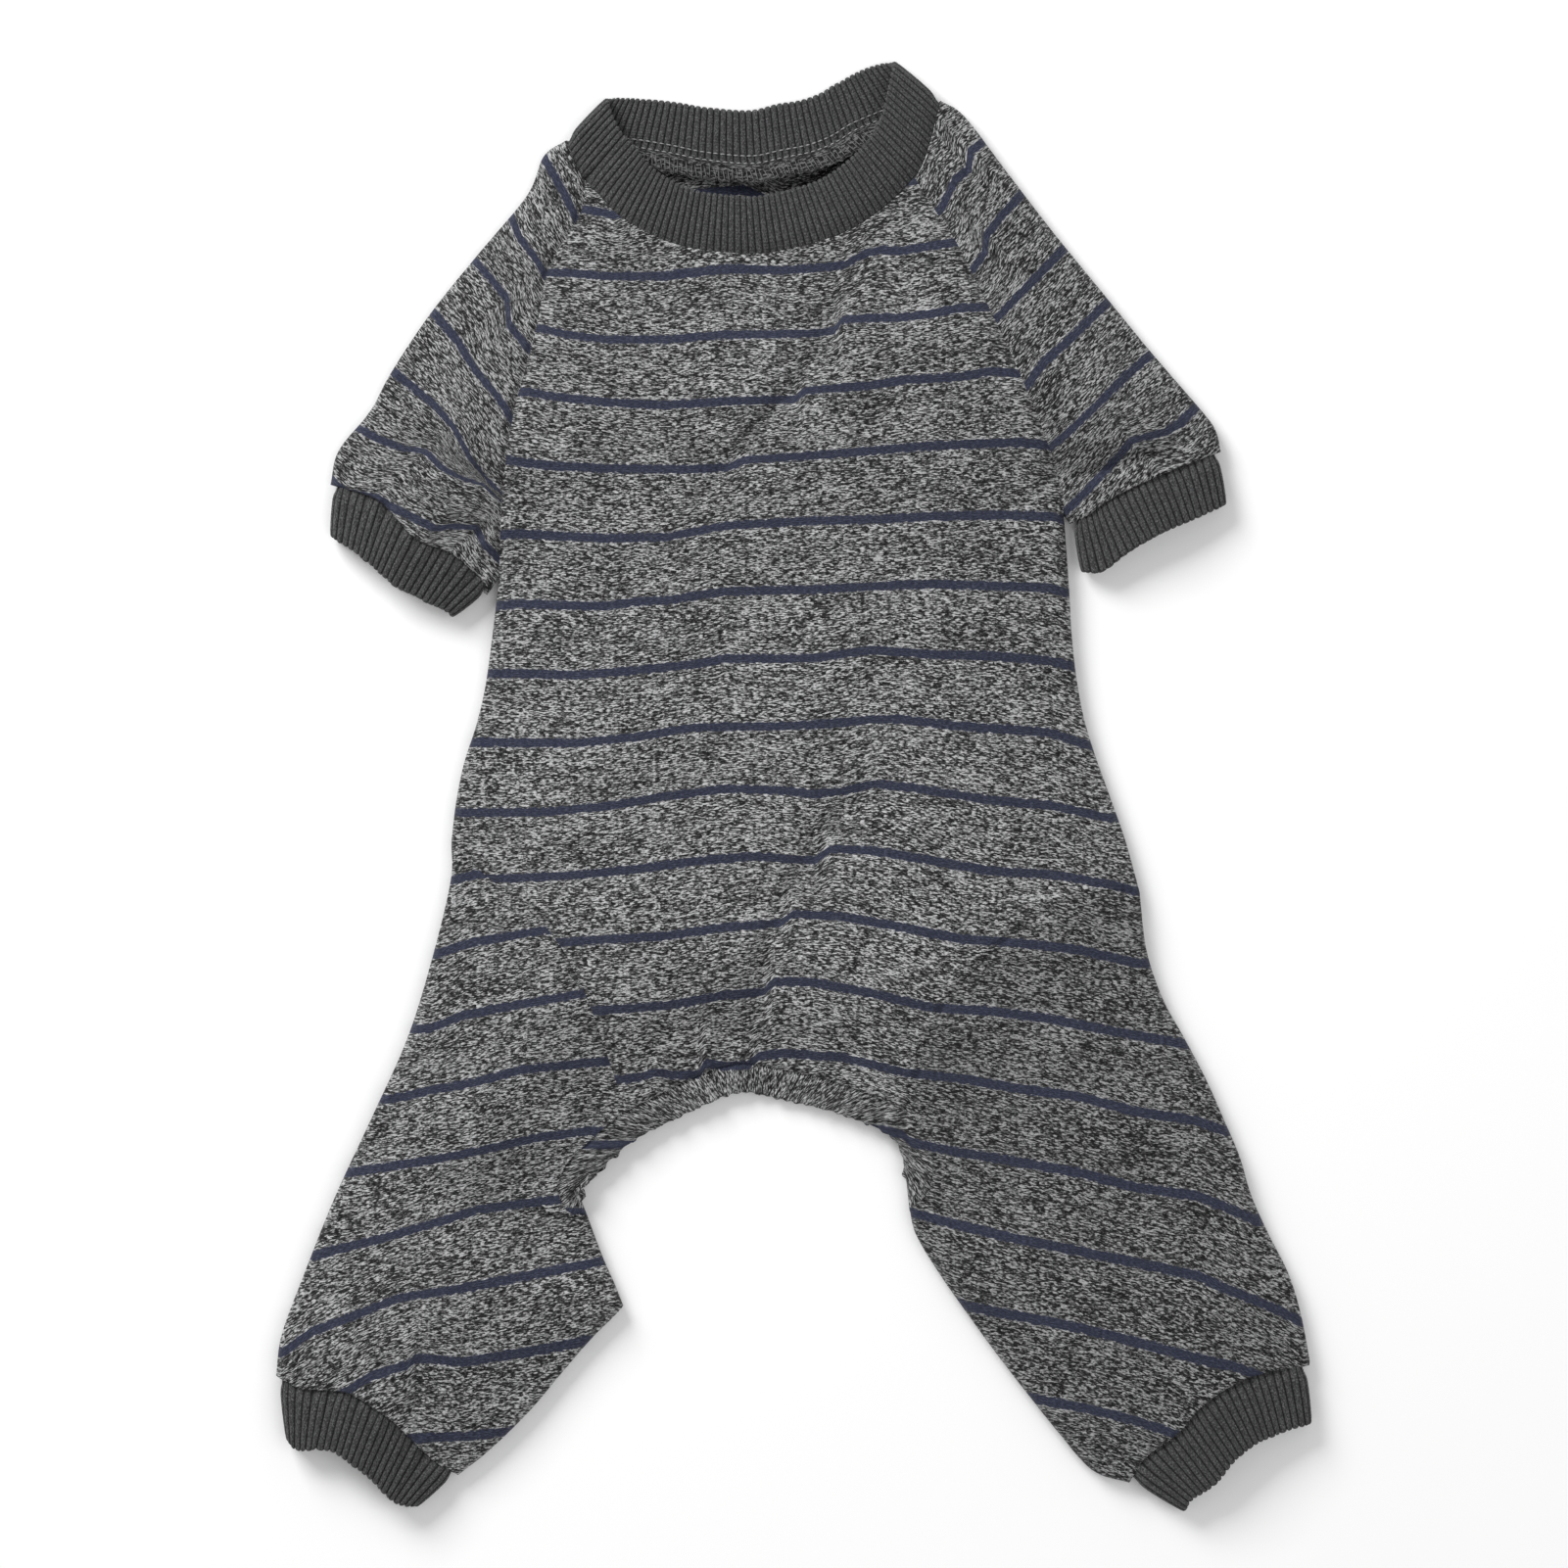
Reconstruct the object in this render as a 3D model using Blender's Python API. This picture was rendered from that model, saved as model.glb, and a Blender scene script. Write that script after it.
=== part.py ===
"""A knitted dog jumpsuit lying flat, seen from above: +X to the right, +Y to the neck, +Z up.

Every piece is a soft wall of real thickness. Seams, folded edges and the hem are smooth curves in
the plan, and one height rule gives each point of the cloth its place above the surface, so
neighbouring pieces meet along their seams with a small gap.
"""
from collections import namedtuple
from math import pi

import bmesh
import bpy
import numpy as np

for item in list(bpy.data.objects):
    bpy.data.objects.remove(item, do_unlink=True)

# Driving sizes, in metres
BACK_LENGTH = 0.2726       # neck seam to the edge over the rump
CHEST_WIDTH = 0.1856       # flat width under the sleeves
NECK_WIDTH = 0.1222        # flat width of the neck seam
NECK_DROP = 0.0442         # how far the upper neck seam scoops
COLLAR_HEIGHT = 0.0198
SLEEVE_LENGTH = 0.1363     # along the shoulder fold
LEG_LENGTH = 0.1757        # hip to cuff seam
LEG_WIDTH = 0.0992
FRONT_CUFF_LENGTH = 0.0176
HIND_CUFF_LENGTH = 0.0205
HEM_WIDTH = 0.0090
JERSEY_WALL = 0.0014
RIB_WALL = 0.0022          # rib knit is folded double
HEM_WALL = 0.0022
FOLD_ROLL = 0.0032         # radius where the jersey folds over
CUFF_ROLL = 0.0042         # radius where the rib knit folds over
LOFT = 0.0096              # how much the upper layer rises inside the folded edges
LOFT_REACH = 0.0700
CUFF_HEIGHT = 0.0118
COLLAR_RISE = 0.0109
COLLAR_REACH = 0.0400
RIB_PITCH = 0.0025
RIB_DEPTH = 0.0006
GATHER_PITCH = 0.0070
GATHER_DEPTH = 0.0010
WRINKLE_DEPTH = 0.0030
WRINKLE_SPREAD = 0.0070
SEAM_GAP = 0.0006
CUFF_STEP = 0.0014         # how far a sleeve or leg stands out past its cuff


def table(columns, *rows):
    """Rows whose columns are read by name."""
    kind = namedtuple("Row", columns)
    return [kind(*row) for row in rows]


# Torso lines: across in shares of CHEST_WIDTH, down in shares of BACK_LENGTH, from the neck seam
RAGLAN_LEFT = table("across down",
                    (-0.357, -0.048), (-0.412, 0.018), (-0.434, 0.092), (-0.472, 0.189),
                    (-0.492, 0.280), (-0.500, 0.386))
RAGLAN_RIGHT = table("across down",
                     (0.276, -0.042), (0.303, -0.014), (0.362, 0.067), (0.414, 0.143),
                     (0.467, 0.232), (0.484, 0.273), (0.493, 0.312))
SIDE_LEFT = table("across down",
                  (-0.500, 0.386), (-0.510, 0.445), (-0.524, 0.515), (-0.540, 0.562),
                  (-0.562, 0.609), (-0.576, 0.656), (-0.584, 0.703))
SIDE_RIGHT = table("across down",
                   (0.493, 0.312), (0.502, 0.398), (0.507, 0.457), (0.517, 0.515), (0.531, 0.562),
                   (0.553, 0.609), (0.578, 0.656), (0.602, 0.703), (0.626, 0.762))
LEG_SEAM_LEFT = table("across down", (-0.584, 0.703), (-0.526, 0.741), (-0.414, 0.806), (-0.345, 0.888))
LEG_SEAM_RIGHT = table("across down",
                       (0.626, 0.762), (0.540, 0.769), (0.448, 0.790), (0.362, 0.836), (0.272, 0.909))
RUMP_EDGE = table("across down",
                  (-0.362, 1.120), (-0.317, 1.090), (-0.267, 1.060), (-0.214, 1.040), (-0.143, 1.016),
                  (-0.105, 1.005), (-0.067, 1.000), (-0.012, 1.007), (0.079, 1.022), (0.167, 1.045),
                  (0.202, 1.064), (0.214, 1.090), (0.216, 1.108))
BELLY_EDGE = table("across down",
                   (0.216, 1.108), (0.198, 1.008), (0.138, 0.891), (0.052, 0.820), (-0.069, 0.797),
                   (-0.190, 0.820), (-0.276, 0.903), (-0.336, 1.020), (-0.362, 1.120))

# Neck seams: across in shares of NECK_WIDTH, up in shares of NECK_DROP, from the neck seam's middle
NECK_SHIFT = -0.052        # neck middle, as a share of CHEST_WIDTH
NECK_NEAR = table("across up",
                  (-0.501, 0.848), (-0.467, 0.609), (-0.417, 0.449), (-0.360, 0.283), (-0.276, 0.145),
                  (-0.192, 0.058), (-0.115, 0.022), (-0.008, 0.000), (0.084, 0.029), (0.186, 0.101),
                  (0.268, 0.196), (0.352, 0.355), (0.428, 0.565), (0.462, 0.746), (0.499, 1.138))
NECK_FAR = table("across up",
                 (0.499, 1.138), (0.381, 1.036), (0.276, 0.920), (0.220, 0.826), (0.155, 0.754),
                 (0.076, 0.710), (-0.008, 0.667), (-0.134, 0.696), (-0.223, 0.746), (-0.320, 0.790),
                 (-0.420, 0.812), (-0.501, 0.848))

# How each band leans off its seam: along is the share of the seam, turn is in degrees from +X, and
# reach is a share of the band's length
COLLAR_NEAR_LEAN = table("along turn reach",
                         (0.00, 47, 0.97), (0.13, 50, 0.99), (0.30, 76, 0.95), (0.50, 97, 0.95),
                         (0.68, 117, 0.97), (0.85, 135, 1.00), (1.00, 139, 1.02))
COLLAR_FAR_LEAN = table("along turn reach",
                        (0.00, 139, 1.02), (0.22, 112, 0.86), (0.42, 98, 0.92), (0.62, 88, 0.90),
                        (0.84, 74, 0.84), (1.00, 47, 0.97))
CUFF_LEAN = {
    "front_left": table("along turn reach", (0.0, -95, 0.96), (0.25, -107, 1.12), (0.5, -117, 0.95),
                        (0.75, -122, 1.03), (1.0, -141, 0.82)),
    "front_right": table("along turn reach", (0.0, -79, 0.98), (0.25, -72, 1.00), (0.5, -66, 1.00),
                         (0.75, -64, 1.02), (0.92, -76, 1.08), (1.0, -82, 0.95)),
    "hind_left": table("along turn reach", (0.0, -84, 1.02), (0.25, -102, 0.97), (0.5, -111, 1.00),
                       (0.75, -117, 0.97), (1.0, -137, 0.82)),
    "hind_right": table("along turn reach", (0.0, -83, 0.93), (0.25, -72, 1.02), (0.5, -57, 1.03),
                        (0.75, -52, 1.02), (1.0, -32, 1.00)),
}
HEM_RUMP_LEAN = table("along turn reach",
                      (0.00, -69, 1.0), (0.015, -130, 1.0), (0.03, -180, 1.0), (0.05, -223, 1.0),
                      (0.17, -241, 1.0), (0.35, -246, 1.0), (0.50, -270, 1.0), (0.72, -290, 1.0),
                      (0.86, -297, 1.0), (0.92, -325, 1.0), (0.965, -360, 1.0), (0.985, -400, 1.0),
                      (1.00, -444, 1.0))
HEM_BELLY_LEAN = table("along turn reach",
                       (0.00, -84, 1.0), (0.02, -45, 1.0), (0.05, 0, 1.0), (0.15, 14, 1.0),
                       (0.30, 35, 1.0), (0.42, 65, 1.0), (0.53, 90, 1.0), (0.62, 113, 1.0),
                       (0.74, 148, 1.0), (0.87, 169, 1.0), (0.95, 180, 1.0), (0.98, 235, 1.0),
                       (1.00, 291, 1.0))

# Shoulder folds: along and out in shares of SLEEVE_LENGTH, off the straight line of the sleeve
SHOULDER_LEFT = table("along out",
                      (0.000, 0.000), (0.062, 0.023), (0.162, 0.003), (0.345, 0.020), (0.525, 0.034),
                      (0.694, 0.032), (0.801, 0.021), (0.921, 0.030), (1.000, 0.000))
SHOULDER_RIGHT = table("along out",
                       (0.000, 0.000), (0.065, 0.021), (0.242, 0.017), (0.420, 0.014), (0.601, 0.016),
                       (0.783, 0.018), (0.970, 0.025), (1.027, 0.022), (1.075, 0.000))
SLEEVE_TURN_LEFT = -124.4  # degrees from +X
SLEEVE_TURN_RIGHT = -51.4

# Sleeve ends: along and out in shares of the straight line across the sleeve's end
SLEEVE_END_LEFT = table("along out",
                        (0.214, -0.070), (0.324, -0.068), (0.457, -0.036), (0.554, -0.026),
                        (0.707, -0.066), (0.836, -0.063), (0.952, -0.039))
SLEEVE_END_RIGHT = table("along out", (0.25, -0.019), (0.546, -0.032), (0.770, -0.021), (0.862, 0.002))
UNDERARM_LEFT = namedtuple("Step", "across down")(-0.021, 0.021)   # armpit to cuff seam, in torso shares
UNDERARM_RIGHT = namedtuple("Step", "across down")(0.010, 0.010)

# Leg outlines: across in shares of LEG_WIDTH, down in shares of LEG_LENGTH, from the hip
LEG_OUTER_LEFT = table("across down",
                       (0.000, 0.000), (-0.003, 0.073), (-0.065, 0.219), (-0.145, 0.364),
                       (-0.261, 0.510), (-0.381, 0.656), (-0.484, 0.801), (-0.558, 0.914),
                       (-0.577, 0.990))
LEG_INNER_LEFT = table("across down",
                       (0.494, 0.765), (0.548, 0.838), (0.562, 0.862), (0.545, 0.882), (0.461, 0.922),
                       (0.361, 0.987), (0.258, 1.056), (0.126, 1.129), (0.023, 1.175))
LEG_END_LEFT = table("across down",
                     (-0.577, 0.990), (-0.500, 1.012), (-0.397, 1.016), (-0.329, 1.022),
                     (-0.248, 1.049), (-0.181, 1.077), (-0.068, 1.142), (0.023, 1.175))
LEG_OUTER_RIGHT = table("across down",
                        (0.000, 0.000), (0.023, 0.109), (0.077, 0.200), (0.148, 0.273),
                        (0.216, 0.346), (0.274, 0.419), (0.329, 0.492), (0.368, 0.565),
                        (0.426, 0.638), (0.490, 0.710), (0.530, 0.783), (0.558, 0.865), (0.558, 0.880))
LEG_INNER_RIGHT = table("across down",
                        (-0.735, 0.638), (-0.658, 0.710), (-0.568, 0.783), (-0.474, 0.856),
                        (-0.374, 0.929), (-0.271, 1.002), (-0.155, 1.075), (-0.035, 1.098))
LEG_END_RIGHT = table("across down",
                      (0.558, 0.880), (0.435, 0.889), (0.313, 0.911), (0.200, 0.953),
                      (0.126, 1.002), (0.016, 1.051), (-0.035, 1.098))

# Where the hidden seams start and end: shares of the curves that they meet
RAGLAN_START = {"left": 0.093, "right": 0.836}
BELLY_RAGLAN_START = {"left": 0.880, "right": 0.120}
SLEEVE_FOLD = 0.96         # share of the shoulder fold beside the raglan seam
LEG_SEAM_END = {"left": 0.270, "right": 0.800}
BELLY_SEAM_END = {"left": 0.640, "right": 0.375}
THIGH_SHARE = {"left": 0.66, "right": 0.60}

# Wrinkles: depth is a share of WRINKLE_DEPTH, spread of WRINKLE_SPREAD, a row for each wrinkle
WRINKLES = table(
    "depth spread route",
    (0.9, 0.8, table("across down", (-0.640, 0.222), (-0.579, 0.257), (-0.500, 0.291))),
    (1.0, 0.7, table("across down", (0.484, 0.261), (0.586, 0.243), (0.690, 0.232))),
    (0.5, 1.0, table("across down", (0.147, 0.006), (0.083, 0.087), (0.026, 0.169), (-0.078, 0.251),
                     (-0.155, 0.331))),
    (0.7, 1.3, table("across down", (0.172, 0.633), (0.074, 0.717), (0.009, 0.793), (-0.026, 0.876),
                     (-0.052, 0.964))),
    (0.7, 0.8, table("across down", (-0.190, 0.930), (-0.175, 1.010))),
    (0.6, 0.8, table("across down", (-0.110, 0.920), (-0.105, 0.985))),
    (0.6, 0.8, table("across down", (0.040, 0.930), (0.030, 1.000))),
    (0.5, 0.8, table("across down", (0.120, 0.950), (0.100, 1.015))),
    (0.6, 1.2, table("across down", (-0.700, 1.050), (-0.560, 1.130), (-0.430, 1.180))),
    (0.6, 1.2, table("across down", (0.330, 1.100), (0.450, 1.190), (0.600, 1.250))),
)

# How much of LOFT is left along the rump edge and the upper neck seam, and how far inside it returns
RUMP_LOFT = -0.22
RUMP_REACH = 0.050
NECK_LOFT = 0.45
NECK_REACH = 0.045

# Faces along each piece
SHOULDER_ROWS = 8
SIDE_ROWS = 5
SEAT_STOPS = (0.04, 0.22, 0.42, 0.62, 0.81, 1.0)           # shares of a leg seam, closer at the hip
SHIN_ROWS = 6
PANEL_COLUMNS = 12
BELLY_COLUMNS = 5
SLEEVE_COLUMNS = 5
LEG_COLUMNS = 4
FOLD_STOPS = (0.29, 1.0)   # shares of FOLD_ROLL, the two narrow columns beside a folded edge
HEM_STEPS = 400            # along each edge of the rear opening
BAND_STEPS = 80            # along a band's flat run
ROLL_STEPS = 9             # round a band's folded edge
THIGH_STOPS = (0.26, 0.48, 0.64, 0.76, 0.86, 0.94, 1.0)   # closer together round the notch


def smooth(points, steps=12):
    """A smooth curve through the points, as a dense polyline."""
    knots = np.asarray(points, dtype=float)
    ends = np.vstack([2 * knots[0] - knots[1], knots, 2 * knots[-1] - knots[-2]])
    share = np.linspace(0, 1, steps, endpoint=False)[:, None]
    curve = []
    for a, b, c, d in zip(ends, ends[1:], ends[2:], ends[3:]):
        curve.append(0.5 * (2 * b + (c - a) * share + (2 * a - 5 * b + 4 * c - d) * share ** 2
                            + (3 * b - a - 3 * c + d) * share ** 3))
    return np.vstack(curve + [knots[-1:]])


def run(curve):
    """The length from the curve's start to each of its points."""
    return np.concatenate([[0], np.cumsum(np.linalg.norm(np.diff(curve, axis=0), axis=1))])


def pick(curve, shares):
    """Points at the given shares of the curve's length."""
    length = run(curve)
    at = np.atleast_1d(shares) * length[-1]
    return np.column_stack([np.interp(at, length, curve[:, axis]) for axis in range(curve.shape[1])])


def cut(curve, start, end, steps=60):
    """The part of a curve between two shares of its length."""
    return pick(curve, np.linspace(start, end, steps))


def torso(row):
    return (row.across * CHEST_WIDTH, -row.down * BACK_LENGTH)


def neck(row):
    return (NECK_SHIFT * CHEST_WIDTH + row.across * NECK_WIDTH, row.up * NECK_DROP)


def leg(hip, row):
    return (hip[0] + row.across * LEG_WIDTH, hip[1] - row.down * LEG_LENGTH)


def offset_line(start, turn, size, rows):
    """Points placed along and off a straight line that starts at a point and turns by an angle."""
    along = np.array([np.cos(np.radians(turn)), np.sin(np.radians(turn))])
    off = np.array([along[1], -along[0]])
    return [start + size * (row.along * along + row.out * off) for row in rows]


def lean(seam, rows, size):
    """The free edge of a band that leans off its seam."""
    share = run(seam) / run(seam)[-1]
    turn = np.radians(np.interp(share, [row.along for row in rows], [row.turn for row in rows]))
    reach = size * np.interp(share, [row.along for row in rows], [row.reach for row in rows])
    return seam + np.column_stack([np.cos(turn), np.sin(turn)]) * reach[:, None]


# Plan curves
neck_near = smooth([neck(row) for row in NECK_NEAR])
neck_far = smooth([neck(row) for row in NECK_FAR])
collar_near = lean(neck_near, COLLAR_NEAR_LEAN, COLLAR_HEIGHT)
collar_far = lean(neck_far, COLLAR_FAR_LEAN, COLLAR_HEIGHT)
rump_edge = smooth([torso(row) for row in RUMP_EDGE])
belly_edge = smooth([torso(row) for row in BELLY_EDGE])
rump_seam = lean(cut(rump_edge, 0, 1, HEM_STEPS), HEM_RUMP_LEAN, HEM_WIDTH)
belly_seam = lean(cut(belly_edge, 0, 1, HEM_STEPS), HEM_BELLY_LEAN, HEM_WIDTH)


def side_curves(side, raglan_rows, side_rows, seam_rows):
    """Raglan seams, side fold and leg seams of one side, above and below."""
    armpit = torso(raglan_rows[-1])
    hip = torso(side_rows[-1])
    start = pick(neck_near, RAGLAN_START[side])[0]
    start_below = pick(neck_far, BELLY_RAGLAN_START[side])[0]
    end = pick(rump_seam, LEG_SEAM_END[side])[0]
    end_below = pick(belly_seam, BELLY_SEAM_END[side])[0]
    return {
        "armpit": np.array(armpit),
        "hip": np.array(hip),
        "raglan": smooth([start] + [torso(row) for row in raglan_rows]),
        "raglan_below": smooth([start_below, (0.4 * start_below[0] + 0.6 * armpit[0],
                                              0.5 * (start_below[1] + armpit[1])), armpit]),
        "side": smooth([torso(row) for row in side_rows]),
        "seam": smooth([torso(row) for row in seam_rows] + [end]),
        "seam_below": smooth([hip, (0.5 * (hip[0] + end_below[0]), 0.6 * hip[1] + 0.4 * end_below[1]),
                              end_below]),
    }


LINES = {
    "left": side_curves("left", RAGLAN_LEFT, SIDE_LEFT, LEG_SEAM_LEFT),
    "right": side_curves("right", RAGLAN_RIGHT, SIDE_RIGHT, LEG_SEAM_RIGHT),
}


def sleeve_curves(side, neck_end, turn, rows, end_rows, underarm):
    """Shoulder fold, sleeve end and the short fold under the arm."""
    mirror = 1 if side == "left" else -1
    line = LINES[side]
    shoulder = smooth(offset_line(neck_end, turn, SLEEVE_LENGTH,
                                  [row._replace(out=row.out * mirror) for row in rows]))
    corner = shoulder[-1]
    inner = line["armpit"] + np.array([underarm.across * CHEST_WIDTH, -underarm.down * BACK_LENGTH])
    chord = inner - corner
    angle = np.degrees(np.arctan2(chord[1], chord[0]))
    size = np.hypot(*chord)
    bulge = offset_line(corner, angle, size, [row._replace(out=row.out * mirror) for row in end_rows])
    line["shoulder"] = shoulder
    line["sleeve_end"] = smooth([corner] + bulge + [inner])
    line["underarm"] = np.array([line["armpit"], inner])


sleeve_curves("left", neck_near[0], SLEEVE_TURN_LEFT, SHOULDER_LEFT, SLEEVE_END_LEFT, UNDERARM_LEFT)
sleeve_curves("right", neck_near[-1], SLEEVE_TURN_RIGHT, SHOULDER_RIGHT, SLEEVE_END_RIGHT, UNDERARM_RIGHT)


def leg_curves(side, notch, outer_rows, inner_rows, end_rows):
    """Outer fold, inner fold and end of a hind leg. The notch is where the rear hem crosses the fold."""
    line = LINES[side]
    hip = line["hip"]
    line["outer"] = smooth([leg(hip, row) for row in outer_rows])
    line["inner"] = smooth([notch] + [leg(hip, row) for row in inner_rows])
    line["leg_end"] = smooth([leg(hip, row) for row in end_rows])
    line["notch"] = np.array(notch)


leg_curves("left", rump_seam[0], LEG_OUTER_LEFT, LEG_INNER_LEFT, LEG_END_LEFT)
leg_curves("right", rump_seam[-1], LEG_OUTER_RIGHT, LEG_INNER_RIGHT, LEG_END_RIGHT)

FOLDED_EDGES = []
for line in LINES.values():
    for name in ("shoulder", "side", "underarm", "outer", "inner"):
        FOLDED_EDGES.append(line[name])
FOLDED_EDGES.append(np.array([rump_edge[0], rump_seam[0]]))
FOLDED_EDGES.append(np.array([rump_edge[-1], rump_seam[-1]]))


def nearest(points, polyline):
    """The way from the nearest point of a polyline to each point."""
    start = polyline[:-1][None]
    step = (polyline[1:] - polyline[:-1])[None]
    offset = points[:, None] - start
    share = np.clip((offset * step).sum(2) / np.maximum((step ** 2).sum(2), 1e-18), 0, 1)
    way = offset - share[..., None] * step
    best = np.argmin((way ** 2).sum(2), axis=1)
    return way[np.arange(len(points)), best]


def fold_way(points):
    """The way from the nearest folded edge to each point, and its length."""
    ways = np.stack([nearest(points, edge) for edge in FOLDED_EDGES])
    size = np.linalg.norm(ways, axis=2)
    best = np.argmin(size, axis=0)
    index = np.arange(len(points))
    return ways[best, index], size[best, index]


def ease(share):
    share = np.clip(share, 0, 1)
    return share * share * (3 - 2 * share)


def swell(distance, reach):
    """A rise from a fold that slackens towards its reach."""
    return 1 - (1 - np.clip(distance / reach, 0, 1)) ** 2


def loft(points):
    """How far the upper layer stands above the top of the folded edge."""
    distance = fold_way(points)[1]
    from_rump = np.linalg.norm(nearest(points, rump_edge), axis=1)
    near_rump = ease(from_rump / RUMP_REACH)
    near_neck = ease(np.linalg.norm(nearest(points, neck_near), axis=1) / NECK_REACH)
    left = (RUMP_LOFT + (1 - RUMP_LOFT) * near_rump) * (NECK_LOFT + (1 - NECK_LOFT) * near_neck)
    rise = LOFT * swell(distance, LOFT_REACH) * left
    for wrinkle in WRINKLES:
        route = smooth([torso(row) for row in wrinkle.route])
        off = np.linalg.norm(nearest(points, route), axis=1) / (wrinkle.spread * WRINKLE_SPREAD)
        fade = ease(distance / (2 * FOLD_ROLL)) * ease(from_rump / (2 * HEM_WIDTH))
        rise -= wrinkle.depth * WRINKLE_DEPTH * np.exp(-off ** 2) * fade
    return rise


def fill(neighbour, way, size):
    """Directions away from the fold, taken from the next column where a point is on the fold."""
    unit = way / np.maximum(size, 1e-9)[..., None]
    on_fold = size < 1e-6
    unit[on_fold] = unit[neighbour][on_fold]
    return unit


def cloth_points(plan, shift, layer):
    """Outer and inner points of a wall of jersey over a grid of plan points, shifted sideways."""
    rows, columns = plan.shape[:2]
    flat = plan.reshape(-1, 2)
    way, size = fold_way(flat)
    way = way.reshape(rows, columns, 2)
    size = size.reshape(rows, columns)
    order = np.arange(columns)
    beside = np.where(order < columns - 1, order + 1, order - 1)
    unit = fill((slice(None), beside), way, size)
    step = 0.0005
    rise = loft(flat).reshape(rows, columns)
    slope = np.stack([
        (loft(flat + [step, 0]) - loft(flat - [step, 0])).reshape(rows, columns),
        (loft(flat + [0, step]) - loft(flat - [0, step])).reshape(rows, columns)], axis=2) / (2 * step)
    turn = 1 - np.clip(size / FOLD_ROLL, 0, 1)
    lift = np.sqrt(1 - turn ** 2)
    above = (layer > 0)[None, :]
    below = (layer < 0)[None, :]
    height = FOLD_ROLL + np.where(above, FOLD_ROLL * lift + rise, 0) - np.where(below, FOLD_ROLL * lift, 0)
    flatways = -turn[..., None] * unit - np.where(above, lift, 0)[..., None] * slope
    upwards = np.where(above, lift, 0) - np.where(below, lift, 0)
    normal = np.concatenate([flatways, upwards[..., None]], axis=2)
    normal /= np.maximum(np.linalg.norm(normal, axis=2), 1e-9)[..., None]
    outer = np.concatenate([plan + shift, height[..., None]], axis=2)
    return outer, outer - JERSEY_WALL * normal


def trim(plan, shift, line, inner, keep=None):
    """Shift a boundary line of the grid half a seam gap towards the inside."""
    edge = plan[line]
    inward = plan[inner] - edge
    tangent = np.gradient(edge, axis=0)
    tangent /= np.maximum(np.linalg.norm(tangent, axis=1), 1e-12)[:, None]
    inward -= (inward * tangent).sum(1)[:, None] * tangent
    inward /= np.maximum(np.linalg.norm(inward, axis=1), 1e-12)[:, None]
    inward *= SEAM_GAP / 2
    if keep is not None:
        inward[keep] = 0
    shift[line] += inward


def coons(top, bottom, left, right, columns):
    """A grid of plan points between four curves; each row has the given column shares."""
    rows = len(left)
    down = (run(left) / run(left)[-1] + run(right) / run(right)[-1])[:, None, None] / 2
    across = columns[:, :, None]
    grid_top = np.stack([pick(top, share) for share in columns])
    grid_bottom = np.stack([pick(bottom, share) for share in columns])
    ruled = (1 - across) * left[:, None] + across * right[:, None]
    top_chord = (1 - across) * top[0] + across * top[-1]
    bottom_chord = (1 - across) * bottom[0] + across * bottom[-1]
    grid = ruled + (1 - down) * (grid_top - top_chord) + down * (grid_bottom - bottom_chord)
    return grid.reshape(rows, -1, 2)


def column_shares(left, right, count, folds):
    """Even columns, with two narrow ones beside each folded edge."""
    narrow = FOLD_ROLL * np.array(FOLD_STOPS)
    rows = []
    for a, b in zip(left, right):
        width = max(np.hypot(*(b - a)), 1e-6)
        edge = np.minimum(narrow / width, np.array([1, 2]) / (count + 4))
        start = list(edge) if folds[0] else []
        end = list(1 - edge[::-1]) if folds[1] else []
        first = start[-1] if start else 0.0
        last = end[0] if end else 1.0
        middle = list(np.linspace(first, last, count + 1))
        row = [0.0] * bool(start) + start[:-1] + middle + end[1:] + [1.0] * bool(end)
        rows.append(row)
    return np.array(rows)


def joined(pieces, counts):
    """Points along a chain of curves, each with its own number of steps."""
    points = [pick(curve, np.linspace(0, 1, count + 1)) for curve, count in zip(pieces, counts)]
    return np.vstack([points[0]] + [part[1:] for part in points[1:]])


def plain_material(name, colour, roughness):
    material = bpy.data.materials.new(name)
    material.use_nodes = True
    shader = material.node_tree.nodes["Principled BSDF"]
    shader.inputs["Base Color"].default_value = (*colour, 1.0)
    shader.inputs["Roughness"].default_value = roughness
    shader.inputs["Metallic"].default_value = 0.0
    return material


def make_object(name, vertices, faces, colour, roughness):
    """A closed body from its points and faces, with its own material."""
    mesh = bpy.data.meshes.new(name)
    mesh.from_pydata([tuple(point) for point in vertices], [], faces)
    shape = bmesh.new()
    shape.from_mesh(mesh)
    bmesh.ops.triangulate(shape, faces=shape.faces[:], quad_method="SHORT_EDGE")
    if shape.calc_volume(signed=True) < 0:
        bmesh.ops.reverse_faces(shape, faces=shape.faces[:])
    shape.to_mesh(mesh)
    shape.free()
    mesh.shade_smooth()
    mesh.set_sharp_from_angle(angle=pi / 4)
    mesh.materials.append(plain_material(name, colour, roughness))
    piece = bpy.data.objects.new(name, mesh)
    bpy.context.collection.objects.link(piece)
    return piece


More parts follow.
